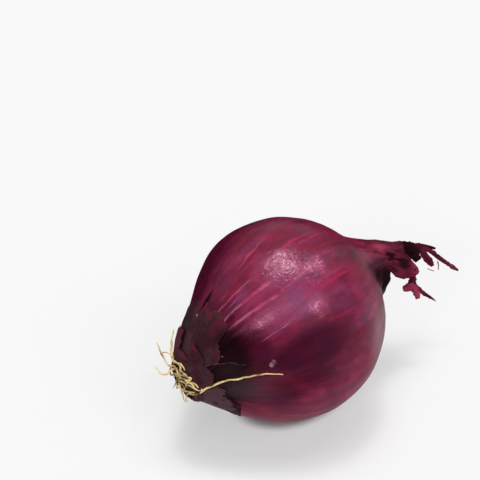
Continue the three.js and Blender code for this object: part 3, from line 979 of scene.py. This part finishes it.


# lit and ridge paint light on a scrap; rim, side and paintedHoles paint shade
skinScraps = {  # rows of knots from the plate to the free edge: along, turn, lift
    "scrapUpper": {
        "nodes": ["scrap_upper"], "seed": 2, "lit": 0.05, "ridge": 0.4, "rim": 1.2,
        "rows": [
            [(-45.0, 3, 0.4), (-45.2, 12, 0.4), (-45.0, 24, 0.4), (-44.0, 38, 0.4)],
            [(-43.6, 3, 0.9), (-43.6, 12, 0.9), (-43.5, 24, 0.9), (-42.9, 39, 0.7)],
            [(-42.0, 1, 1.2), (-42.0, 10, 1.3), (-42.0, 22, 1.3), (-42.0, 38, 1.0)],
            [(-39.9, 0, 1.5), (-40.2, 7, 1.5), (-40.9, 20, 1.6), (-41.4, 36, 1.2)],
        ],
    },
    "scrapFrontFlap": {
        "nodes": ["scrap_front_flap"], "seed": 1, "lit": 0.03, "rim": 0.5,
        "rows": [
            [(-45.2, 22, 0.3), (-45.5, 44, 0.3), (-45.5, 64, 0.3), (-45.0, 80, 0.3)],
            [(-44.2, 28, 0.7), (-44.0, 46, 1.1), (-43.6, 62, 1.0), (-43.8, 81, 0.8)],
            [(-43.0, 35, 0.8), (-42.8, 47, 1.3), (-42.5, 60, 1.3), (-43.2, 81, 0.9)],
            [(-42.1, 40, 0.8), (-41.6, 50, 1.3), (-41.2, 57, 1.5), (-42.4, 76, 1.1)],
        ],
    },
    "scrapBackCurl": {
        "nodes": ["scrap_back_curl"], "seed": 3, "lit": 0.36, "rim": 0.6, "side": 1.2,
        "rows": [
            [(-45.0, -28, 0.5), (-45.0, -50, 0.5), (-45.0, -75, 0.5), (-45.0, -100, 0.4)],
            [(-43.2, -25, 1.0), (-43.0, -50, 1.4), (-42.8, -75, 1.4), (-43.2, -99, 1.0)],
            [(-40.6, -27, 1.2), (-40.0, -48, 1.9), (-39.6, -68, 1.8), (-41.2, -92, 1.2)],
            [(-38.0, -30, 1.0), (-36.6, -46, 1.8), (-35.8, -62, 1.6), (-38.6, -84, 1.0)],
        ],
    },
    "scrapPointed": {
        "nodes": [], "seed": 6, "lit": 0.08, "rim": 0.9,
        "rows": [
            [(-46.3, 8, -0.9), (-46.3, -16, -0.9), (-46.3, -40, -0.9), (-46.0, -66, -0.5)],
            [(-45.2, 9, 0.7), (-44.9, -14, 1.1), (-44.8, -38, 1.2), (-45.2, -68, 1.2)],
            [(-44.3, 9, 0.8), (-43.6, -8, 1.3), (-42.7, -42, 1.7), (-44.7, -74, 2.0)],
        ],
    },
    "scrapUnder": {
        "nodes": ["scrap_under"], "seed": 4, "lit": -0.6, "ragged": 0.16, "frayed": 0.3, "rim": 1.2,
        "paintedHoles": [(0.72, 0.42, 0.07, 1.6)],
        "rows": [
            [(-45.2, 84, 0.4), (-45.2, 104, 0.5), (-45.0, 122, 0.5), (-44.6, 142, 0.4)],
            [(-43.2, 82, 0.7), (-43.2, 101, 0.9), (-42.4, 120, 1.0), (-42.4, 141, 0.8)],
            [(-41.2, 80, 0.8), (-41.0, 100, 1.1), (-39.4, 118, 1.3), (-39.4, 141, 1.0)],
            [(-39.6, 79, 0.6), (-39.3, 98, 1.0), (-36.3, 115, 1.5), (-34.6, 133, 1.0)],
        ],
    },
    "scrapFarSide": {
        "nodes": ["scrap_far_side"], "seed": 5, "lit": 0.1, "rim": 0.5,
        "rows": [
            [(-45.0, -102, 0.4), (-45.0, -120, 0.5), (-45.0, -136, 0.5), (-44.8, -152, 0.4)],
            [(-42.6, -100, 0.8), (-42.4, -118, 1.2), (-42.2, -135, 1.2), (-42.6, -153, 0.8)],
            [(-40.2, -99, 0.9), (-39.0, -117, 1.7), (-39.2, -134, 1.6), (-40.4, -151, 1.0)],
            [(-38.6, -101, 0.8), (-35.8, -116, 1.9), (-36.8, -133, 1.9), (-38.6, -148, 1.0)],
        ],
    },
}


def makeScrap(name, scrap):
    seed = scrap["seed"]

    def place(share, reach):
        pulledShare = raggedShare(share, reach, scrap.get("ragged", 0.12), seed)
        pulledReach = reach * (1 - scrap.get("frayed", 0.16) * abs(waver(share * 9, seed * 5.1, 3)))
        rows = [valueAt([Vector(knot) for knot in row], pulledShare) for row in scrap["rows"]]
        along, turn, lift = valueAt(rows, pulledReach)
        crumple = waver(share * 5, reach * 3, seed * 2.3) * 0.3
        crumple += waver(share * 13, reach * 8, seed * 2.3) * 0.12
        torn = smoothStep(max(reach, abs(2 * share - 1)), 0.75, 1)
        # painted highlight along the upper scrap's ridge; painted shadow along the free edge, down one side
        # of the back curl, and in dark holes
        lit = scrap["lit"] + scrap.get("ridge", 0) * bell(reach - 0.8, 0.09) * smoothStep(share, 0.62, 0.35)
        dark = scrap["rim"] * smoothStep(reach, 0.88, 0.97) * smoothStep(share, 0.1, 0.2)
        dark = max(dark, scrap.get("side", 0) * smoothStep(share, 0.08, 0.03))
        for spotAcross, spotReach, spread, amount in scrap.get("paintedHoles", []):
            dark = max(dark, amount * bell(share - spotAcross, spread) * bell(reach - spotReach, spread))
        return skinPoint(along, turn, lift + crumple * reach), meridian(along, turn), (torn, dark, lit)

    sheet = shapeSheet(44, 24, place, 0.15)
    finishPiece(sheet, name, deadSkin, "outer_skin", *scrap["nodes"])


thinFilm = {  # a layer as thin as paper that has cracked away from the black skin: along, turn, lift
    "rows": [
        [
            (-43.2, 40, 0.4), (-41.4, 42, 0.5), (-39.8, 45, 0.55), (-37.4, 50, 0.5), (-35.6, 52.5, 0.5),
            (-33.6, 58.5, 0.4), (-31.6, 60.5, 0.1),
        ],
        [
            (-43.2, 56, 0.4), (-41.4, 57, 0.45), (-39.8, 58, 0.45), (-37.4, 60, 0.4), (-35.6, 62, 0.35),
            (-33.6, 65, 0.2), (-31.6, 66, 0.0),
        ],
        [
            (-43.2, 76, 0.3), (-41.4, 76, 0.3), (-39.8, 76, 0.25), (-37.4, 77, 0.15), (-35.6, 78, 0.05),
            (-33.6, 79, 0.0), (-31.6, 79, -0.1),
        ],
        [
            (-43.2, 98, 0.1), (-41.4, 98, 0.0), (-39.8, 98, -0.1), (-37.4, 98, -0.15), (-35.6, 98, -0.2),
            (-33.6, 97, -0.2), (-31.6, 96, -0.2),
        ],
    ],
    "paleEdgeAndHighlight": 0.55,
}


def makeFilm(film):
    spots = []
    pales = []

    def place(share, reach):
        along, turn, lift = patchPoint(film["rows"], share, reach)
        rag = waver(share * 14, 5, 5) * 0.9 + waver(share * 40, 5, 9) * 0.5
        turn += rag * (1 - reach) ** 4
        spots.append((along, turn))
        # a pale crack line along the film's edge, partly a painted highlight where the edge catches the
        # light
        pales.append(film["paleEdgeAndHighlight"] * smoothStep(reach, 0.04, 0) * (0.5 + waver(share * 9, 1, 1)))
        sunk = 0.35 * max(smoothStep(share, 0.82, 1), smoothStep(reach, 0.75, 1))
        lift += bulbDetail(along, turn, bulbPiece) - sunk
        return skinPoint(along, turn, lift), (0, 0, 0), (0, 0, 0)

    sheet = shapeSheet(80, 50, place, 0.1)
    both = len(sheet.data.vertices) // len(spots)
    addSkinData(sheet, spots * both, bulbPiece)
    lights = sheet.data.attributes["skinLight"].data
    for light, pale in zip(lights, pales * both):
        light.vector = (0.05, max(light.vector.y, pale), 0)
    finishPiece(sheet, "thinFilm", bulbSkin, "outer_skin")


makeRootEndSkin(rootEndSkin)
for name, scrap in skinScraps.items():
    makeScrap(name, scrap)
makeFilm(thinFilm)
print("dead skin made")


plate = {
    "sides": 48,
    "radius": 8.6,
    "back": -45.4,
    "face": -46.2,
    "rings": 6,
    "ringStep": 1.2,
    "knobs": 0.5,
    "knobSize": 1.6,
    "crown": 0.5,
}


def makePlate(piece):
    # a disc inset ring by ring, closed behind, then made knobby
    disc = addRing(piece["sides"], piece["radius"], piece["face"], "NGON")
    bpy.ops.mesh.select_mode(type="FACE")
    for i in range(piece["rings"]):
        bpy.ops.mesh.inset(thickness=piece["ringStep"] * mm)
    bpy.ops.mesh.poke()
    bpy.ops.mesh.select_all(action="DESELECT")
    bpy.ops.mesh.select_mode(type="EDGE")
    bpy.ops.mesh.select_non_manifold()
    thickness = (piece["back"] - piece["face"]) * mm
    bpy.ops.mesh.extrude_edges_move(TRANSFORM_OT_translate={"value": (thickness, 0, 0)})
    bpy.ops.mesh.edge_face_add()
    turnFacesOut()
    bpy.ops.object.mode_set(mode="OBJECT")
    applyModifier(disc, "SUBSURF", levels=2, render_levels=2)
    for vertex in disc.data.vertices:
        x, y, z = vertex.co / mm
        knob = noise.noise(vertex.co / (piece["knobSize"] * mm)) * piece["knobs"]
        out = math.hypot(y, z)
        crown = piece["crown"] * (1 - (out / piece["radius"]) ** 2)
        if x < piece["back"] - 0.2:
            x -= knob + crown
        vertex.co = spokePoint(x, math.degrees(math.atan2(-y, z)), out)
    finishPiece(disc, "basalPlate", cork, "basal_plate", "basal_plate")


makePlate(plate)
print("basal plate made")


def onPlate(front, up, height):
    # a point over the plate in millimetres: towards the front, upwards, and above the plate's face
    turn = math.degrees(math.atan2(front, up))
    return spokePoint(plate["face"] - height, turn, math.hypot(front, up)) / mm


rootForm = {
    "wander": 0.35,  # how far a root strays from its route, and over what length
    "wanderLength": 2.2,
    "knots": 0.45,  # how uneven its thickness is
}


def makeRoot(name, route, thickness, seed, taper=0.55):
    # a curve that wanders a little round its route and thins towards its tip
    knots = [Vector(point) for point in route]
    steps = (len(knots) - 1) * 4
    curve = bpy.data.curves.new(name, "CURVE")
    curve.dimensions = "3D"
    curve.bevel_depth = thickness / 2 * mm
    curve.bevel_resolution = 1
    curve.resolution_u = 2
    curve.use_fill_caps = True
    spline = curve.splines.new("NURBS")
    spline.points.add(steps)
    spline.order_u = 3
    spline.use_endpoint_u = True
    for i in range(steps + 1):
        share = i / steps
        point = curveThrough(knots, share * (len(knots) - 1))
        # noise_vector isn't the same each time Blender starts, so three plain noises make the vector
        strayAt = point / rootForm["wanderLength"] + Vector((seed * 3.1, 0, 0))
        wander = Vector([noise.noise(strayAt + Vector((0, 0, shift))) for shift in (0, 40.37, 80.71)])
        knot = 1 + rootForm["knots"] * waver(i * 0.7, seed * 1.7, 2)
        spline.points[i].co = ((point + wander * rootForm["wander"]) * mm).to_4d()
        spline.points[i].radius = knot * (1 - taper * share ** 3)
    root = bpy.data.objects.new(name, curve)
    bpy.context.scene.collection.objects.link(root)
    deselectAll()
    root.select_set(True)
    bpy.context.view_layer.objects.active = root
    bpy.ops.object.convert(target="MESH")
    return bpy.context.object


outerRoots = {  # node, thickness, route
    "rootLong": ("root_long", 0.76, [
        onPlate(1.5, -5, 0.5), onPlate(5.2, -2.8, 1.0), onPlate(8.0, -0.8, 0.2), onPlate(10.3, 1.7, -1.9),
        (-42.6, -12.6, 34.8), (-40.4, -16.6, 38.3), (-37.4, -19.6, 39.2), (-34, -22.8, 41.0),
        (-30.4, -26.6, 42.4), (-25.8, -30.8, 42.6),
    ]),
    "rootUp": ("root_up", 0.95, [
        onPlate(-5.2, 5.6, 0.3), (-46.9, 7.2, 38.6), (-45.8, 8.8, 41.2), (-44.4, 10, 43.5),
        (-42.6, 11.4, 45.9),
    ]),
    "rootCurved": ("root_curved", 0.7, [
        onPlate(-4.6, 4.6, 0.5), (-49.7, 4.4, 36.8), (-50.6, 5.9, 38.4), (-50.7, 7.9, 40.5),
        (-50.4, 10, 42.1),
        (-50.1, 11.7, 43.4),
    ]),
    "rootArch": ("root_arch", 0.5, [
        onPlate(-5.4, 6, 0.3), (-47.4, 6.8, 38.8), (-48, 7.7, 40.1), (-48.9, 8.1, 40.5), (-50.1, 8.3, 40.7),
        (-51.1, 8.1, 40.2),
    ]),
    "rootLowLeft": ("root_low_left", 0.6, [
        onPlate(-4.2, 3.4, 0.8), (-49.9, 3.1, 36), (-51.2, 2.9, 35.5), (-52.4, 2.8, 35.2), (-53.6, 3.5, 35),
        (-54.1, 4.5, 35.6), (-54, 6, 36.4), (-54.1, 7.5, 37.1),
    ]),
    "rootShortFront": ("root_short_front", 0.55, [
        onPlate(-5, 0.8, 0.6), onPlate(-4, -0.2, 1.2), (-48.6, 2.8, 29.2), (-49.6, 2.5, 28.5),
        (-50.5, 2.3, 27.9),
    ]),
    "rootShortLow": ("root_short_low", 0.55, [
        onPlate(-3, -5.2, 0.6), (-46.8, 1.9, 24.6), (-47.1, 0.9, 23.7), (-47.3, -0.1, 22.8), (-47.5, -1, 22),
    ]),
    "rootUnder": ("root_under", 0.5, [
        onPlate(0.6, -5.6, 0.4), (-46.8, -0.4, 23.6), (-46.6, -0.7, 22.4), (-45.8, -0.7, 21.2),
    ]),
    "rootFarSide": ("root_far_side", 0.6, [
        onPlate(-6.2, -1.6, 0.4), (-46.6, 8.8, 28.6), (-45.6, 10.6, 28.4), (-44.2, 12, 28.9),
        (-42.8, 13.2, 29.6),
    ]),
    "rootFarLow": ("root_far_low", 0.55, [
        onPlate(-3.6, -5, 0.4), (-46.4, 5.4, 24.2), (-45.4, 7.2, 23), (-44, 9, 22.4), (-42.6, 10.6, 22.2),
    ]),
}

mattedRoots = [  # front, up, height over the plate
    [
        (-5.2, 6.4, 0.3), (-2.8, 7.2, 0.6), (-0.3, 7.5, 0.9), (0.6, 6.2, 1.5), (2.6, 5.9, 1.4),
        (3.2, 5.5, 0.9),
    ],
    [(-5.8, 4.0, 0.4), (-3.1, 4.8, 1.2), (-1.7, 4.1, 1.5), (-0.2, 3.5, 1.4), (3.0, 5.0, 1.1)],
    [(-4.9, 6.6, 0.2), (-0.9, 8.1, 0.4), (1.0, 7.9, 0.5), (2.1, 6.9, 0.5)],
    [
        (-4.6, -0.2, 0.6), (-2.8, -1.0, 1.2), (0.1, 0.5, 1.3), (4.6, 4.1, 1.5), (5.6, 5.0, 0.9),
        (4.3, 5.1, 1.0), (-0.8, 1.6, 0.7),
    ],
    [
        (-0.6, -0.8, 0.6), (3.5, 1.3, 1.4), (6.6, 2.0, 1.3), (7.6, 1.1, 0.6), (8.7, 0.7, -0.5),
        (9.0, 1.5, -0.8), (8.2, 2.2, -0.4), (7.4, 2.8, 0.3), (6.1, 3.7, 0.7),
    ],
    [
        (-4.9, -2.0, 0.7), (-3.2, -2.6, 1.4), (-2.2, -4.1, 1.5), (-0.6, -4.4, 1.3), (2.5, -3.0, 1.1),
        (6.6, -0.8, 0.9),
    ],
    [(-0.5, 6.9, 0.5), (0.0, 6.0, 1.6), (1.8, 5.8, 1.8), (1.8, 4.0, 1.0)],
    [(4.7, 3.1, 0.6), (6.9, 3.5, 0.6), (7.9, 2.2, 0.1), (8.4, 0.8, -0.3)],
    [(-4.0, 1.5, 0.5), (-0.9, 1.9, 1.4), (3.0, 3.7, 1.9), (5.9, 3.4, 1.4), (6.7, 2.3, 0.8)],
    [(0.9, -2.3, 0.5), (1.3, -0.3, 1.1), (4.9, 3.6, 1.7), (6.1, 3.0, 1.1), (4.3, 0.1, 0.7)],
]

tuftRoots = {
    "count": 10,
    "seed": 7,
    "thin": 0.3,
    "thick": 0.5,
    "step": 1.6,  # a strand is four steps long
    "reach": 7.5,  # past this far from the middle it turns back
}


def makeTuft(piece):
    # short extra roots that curl close over the plate, joined in one piece
    dice = random.Random(piece["seed"])
    strands = []
    for i in range(piece["count"]):
        front, up = dice.uniform(-5, 5.5), dice.uniform(-6, 6.5)
        heading = dice.uniform(0, 2 * math.pi)
        route = []
        for j in range(5):
            route.append(onPlate(front, up, 0.2 + 0.5 * math.sin(j / 4 * math.pi) + dice.uniform(0, 0.3)))
            heading += dice.uniform(-1.5, 1.5)
            front += piece["step"] * math.cos(heading)
            up += piece["step"] * math.sin(heading)
            if math.hypot(front, up) > piece["reach"]:
                heading += math.pi * 0.6
        strands.append(makeRoot("strand", route, dice.uniform(piece["thin"], piece["thick"]), 40 + i))
    finishPiece(joinPieces(strands), "rootTuft", rootFibre, "root")


for i, (name, (node, thickness, route)) in enumerate(outerRoots.items()):
    finishPiece(makeRoot(name, route, thickness, i + 1), name, rootFibre, "root", node)
for i, route in enumerate(mattedRoots):
    number = str(i + 1)
    root = makeRoot("matted", [onPlate(*point) for point in route], 0.72, 20 + i, taper=0.3)
    finishPiece(root, "rootMatted" + number, rootFibre, "root", "root_matted_" + number)
makeTuft(tuftRoots)
print("roots made")


leafFacing = Vector((-0.5, -0.63, 0.59))  # the way the torn leaves lie open


def makeStrip(strip):
    # a dried strip of leaf along its route: cupped, crinkled, with a ragged outline
    knots = [Vector(point) for point in strip["route"]]
    last = len(knots) - 1
    seed = strip["seed"]
    length = sum((b - a).length for a, b in zip(knots, knots[1:]))
    tone = strip.get("tone", (0, 0, 0))
    tip = strip.get("tip", tone)

    def place(share, across):
        across = across * 2 - 1
        middle = curveThrough(knots, share * last)
        ahead, behind = min(share * last + 0.05, last), max(share * last - 0.05, 0)
        tangent = curveThrough(knots, ahead) - curveThrough(knots, behind)
        side = leafFacing.cross(tangent).normalized()
        normal = tangent.cross(side).normalized()
        run = share * length
        edge = 1 if across > 0 else -1
        rag = waver(run * 0.8, edge * 3, seed) + waver(run * 2.4, edge * 5, seed)
        ragged = 1 + strip.get("ragged", 0.3) * rag
        half = valueAt(strip["widths"], share) / 2 * ragged
        crinkle = waver(run / 2.2, across * 1.1, seed * 2) * 0.5
        crinkle += waver(run / 0.9, across * 2.2, seed * 2 + 9) * 0.18
        ribs = waver(run / 9, across * 3.2, seed * 3) * 0.25
        fall = strip.get("cup", 0.2) * half * 2 * across ** 2
        point = middle + side * half * across + normal * ((crinkle + ribs) * min(1, half / 1.5) - fall)
        turning = smoothStep(share, 0.6, 1)
        shade = [low + (high - low) * turning for low, high in zip(tone, tip)]
        return point * mm, (run * 0.1, across * half * 0.25 + seed, seed * 0.37), shade

    leaf = shapeSheet(strip.get("steps", 50), 8, place, 0.2)
    applyModifier(leaf, "SUBSURF", levels=1, render_levels=1)
    return leaf


neckRoll = {
    "turns": [-132, -100, -70, -35, 0, 24, 42], "from": [39, 38, 37, 37, 37, 38, 40], "seed": 2,
    "wrap": 13,  # how much further round it reaches at its tip
    "to": [52, 55, 58, 59.6, 60.0, 59.4, 58.6, 57.4, 55.8],
    "middleLift": [0.5, 0.7, 1.0, 1.1, 0.9, 0.6, 0.4],
    "tipLift": [-0.2, 0.2, 0.3, 0.3, 0.2, 0, -0.6],
}


def makeNeckRoll(roll):
    seed = roll["seed"]

    def place(share, reach):
        turn = valueAt(roll["turns"], share)
        rag = waver(share * 7, seed, 1) + waver(share * 24, seed, 6) * 0.5
        start = valueAt(roll["from"], share)
        along = start + (valueAt(roll["to"], share) + rag - start) * reach
        lift = valueAt([-0.5, valueAt(roll["middleLift"], share), valueAt(roll["tipLift"], share)], reach)
        depth = along / patternLength
        fold = waverRound(turn, 3.4, depth * 0.9, 7) * 0.9 + waverRound(turn, 9, depth * 1.5, 3) * 0.5
        crinkle = waver(share * 12, along / 3, seed * 3) * 0.3 * reach
        lit = 0.75 * bell(along - 45, 4) * bell(turn - 14, 13)
        dark = 1.1 * smoothStep(share, 0.87, 0.96) * smoothStep(along, 43, 47)
        dark = max(dark, 0.5 * smoothStep(reach, 0.9, 1))
        turn += roll["wrap"] * smoothStep(along, 44, 57) * smoothStep(share, 0.5, 1)
        point = skinPoint(along, turn + waver(along / 3, 2, 2) * 4 * share, lift + fold * 0.6 + crinkle)
        return point, (along * 0.1, turn * 0.03, seed), (0, dark, lit)

    leaf = shapeSheet(90, 44, place, 0.25)
    finishPiece(leaf, "neckLeafRoll", driedLeaf, "neck_leaf", "neck_leaf_roll")


neckFlap = {  # rows of knots from the upper edge to the lower one
    "seed": 4,
    "rows": [
        [
            (44.4, -4.6, 49.6), (48.2, -4.6, 48.8), (52.4, -4.3, 48.3), (56.3, -5.1, 46.2),
            (58.0, -7.0, 42.9), (59.8, -8.7, 39.6),
        ],
        [
            (43.8, -7.8, 47.9), (46.8, -8.6, 46.8), (50.2, -9.0, 44.6), (53.6, -9.0, 42.4),
            (56.9, -9.8, 40.6), (59.7, -9.6, 38.6),
        ],
        [
            (43.7, -10.0, 45.6), (45.8, -10.3, 42.7), (48.6, -10.5, 39.8), (52.1, -10.4, 38.5),
            (55.8, -10.1, 38.1), (58.9, -9.9, 37.6),
        ],
    ],
}


def makeNeckFlap(flap):
    seed = flap["seed"]

    def place(share, reach):
        pulledShare = raggedShare(share, reach, 0.16, seed)
        pulledReach = raggedShare(reach, share, 0.22, seed + 2)
        point = patchPoint(flap["rows"], pulledShare, pulledReach)
        crumple = waver(share * 4, reach * 2.2, seed) * 1.5
        crumple += waver(share * 10, reach * 6, seed) * 0.5
        fold = bell(reach - 0.27, 0.06) * smoothStep(share, 0.75, 0.6)
        dark = max(0.95 * bell(share - 0.5, 0.24) * bell(reach - 0.42, 0.2), fold)
        dark = max(dark, 0.3 * smoothStep(reach, 0.3, 0.1))
        lit = 0.45 * bell(share - 0.05, 0.15) * bell(reach - 0.45, 0.3) + 0.5 * bell(share - 0.92, 0.2)
        return (point + leafFacing * (crumple - fold * 0.5)) * mm, (share, reach * 0.6, seed), (0, dark, lit)

    return shapeSheet(60, 36, place, 0.22)


neckStrips = {
    "curl": [{
        "route": [
            (56.4, 1.4, 45.2), (58.8, 0.6, 44.9), (61.0, -0.3, 44.2), (62.3, -1.7, 43.0),
            (62.8, -3.4, 41.5), (63.4, -5.2, 39.7),
        ],
        "widths": [4.2, 5.0, 5.2, 5.0, 4.3, 2.8], "seed": 11, "cup": 0.1, "tone": (0, 0.85, 0),
        "ragged": 0.16,
    }],
    "upper": [
        {
            "route": [
                (64.6, 1.9, 43.4), (66.0, 1.3, 42.7), (67.9, -0.2, 42.5), (69.6, -1.8, 42.2),
                (71.1, -3.6, 41.9), (72.3, -5.2, 41.6),
            ],
            "widths": [2.2, 1.8, 1.5, 1.4, 1.2, 0.8], "seed": 12, "tone": (0, 0.65, 0),
        },
        {
            "route": [
                (68.3, -1.5, 42.2), (69.8, -3.4, 41.4), (71.2, -5.5, 39.9), (72.5, -7.6, 38.2),
                (74.3, -9.9, 36.3), (75.8, -11.9, 34.8), (77.2, -13.6, 33.5),
            ],
            "widths": [2.2, 1.9, 1.9, 1.9, 1.5, 2.0, 0.4], "seed": 13, "tone": (0.25, 0.3, 0.1),
            "tip": (0.66, 0.1, 0), "steps": 70,
        },
        {
            "route": [
                (65.7, 0.4, 42.6), (67.1, -1.0, 42.0), (67.6, -2.9, 40.7), (67.8, -5.1, 38.9),
                (68.3, -6.7, 37.6), (68.5, -8.0, 36.3),
            ],
            "widths": [3.2, 3.4, 2.8, 3.0, 2.8, 1.2], "seed": 14, "tone": (0, 0.35, 0.1),
        },
        {
            "route": [(71.3, -7.6, 37.2), (71.0, -8.6, 35.9), (70.0, -9.5, 34.7)],
            "widths": [0.5, 0.35, 0.2], "seed": 21, "steps": 16,
        },
        {
            "route": [(66.2, -7.3, 35.8), (67.0, -8.6, 35.4), (67.8, -9.7, 35.2)],
            "widths": [0.3, 0.3, 0.2], "seed": 22,
            "tone": (0.9, 0, 0), "steps": 16,
        },
    ],
    "lower": [
        {
            "route": [
                (56.2, -9.0, 41.0), (55.7, -9.8, 39.3), (55.3, -10.4, 37.9), (54.8, -10.9, 36.1),
                (54.3, -11.3, 34.5),
            ],
            "widths": [3.6, 3.4, 3.0, 3.2, 3.6], "seed": 16, "tone": (0, 0.35, 0),
        },
        {
            "route": [(55.2, -11.5, 35.6), (53.7, -11.0, 34.7), (52.6, -10.3, 34.0), (51.4, -9.4, 33.4)],
            "widths": [2.6, 3.8, 3.4, 1.2], "seed": 18, "steps": 36, "tone": (0, 0, 0.8), "ragged": 0.5,
        },
        {
            "route": [(54.9, -11.5, 34.8), (55.1, -12.3, 33.4), (55.2, -13.2, 32.0), (55.0, -14.4, 30.1)],
            "widths": [2.2, 2.8, 3.0, 1.6], "seed": 20, "steps": 36, "tone": (0, 0, 0.75), "ragged": 0.5,
        },
        {
            "route": [
                (55.2, -11.5, 34.7), (56.7, -12.9, 32.9), (58.7, -14.6, 30.7), (60.5, -16.0, 29.0),
                (62.1, -17.2, 27.4),
            ],
            "widths": [2.8, 2.2, 1.5, 1.0, 0.3], "seed": 17, "tone": (0.1, 0.3, 0.2), "tip": (0.85, 0, 0),
        },
    ],
    "inner": [{
        "route": [(49.4, -4.1, 47.2), (51.6, -4.7, 46.5), (53.7, -5.4, 45.7), (55.4, -6.3, 44.5)],
        "widths": [2.6, 3.4, 3.4, 2.0], "seed": 19, "cup": 0.4, "steps": 40, "tone": (0, 0.0, 0.4),
    }],
}


makeNeckRoll(neckRoll)
for name, strips in neckStrips.items():
    leaves = [makeStrip(strip) for strip in strips]
    if name == "lower":
        leaves.append(makeNeckFlap(neckFlap))
    finishPiece(joinPieces(leaves), "neckLeaf" + name.title(), driedLeaf, "neck_leaf", "neck_leaf_" + name)
print("neck leaves made")
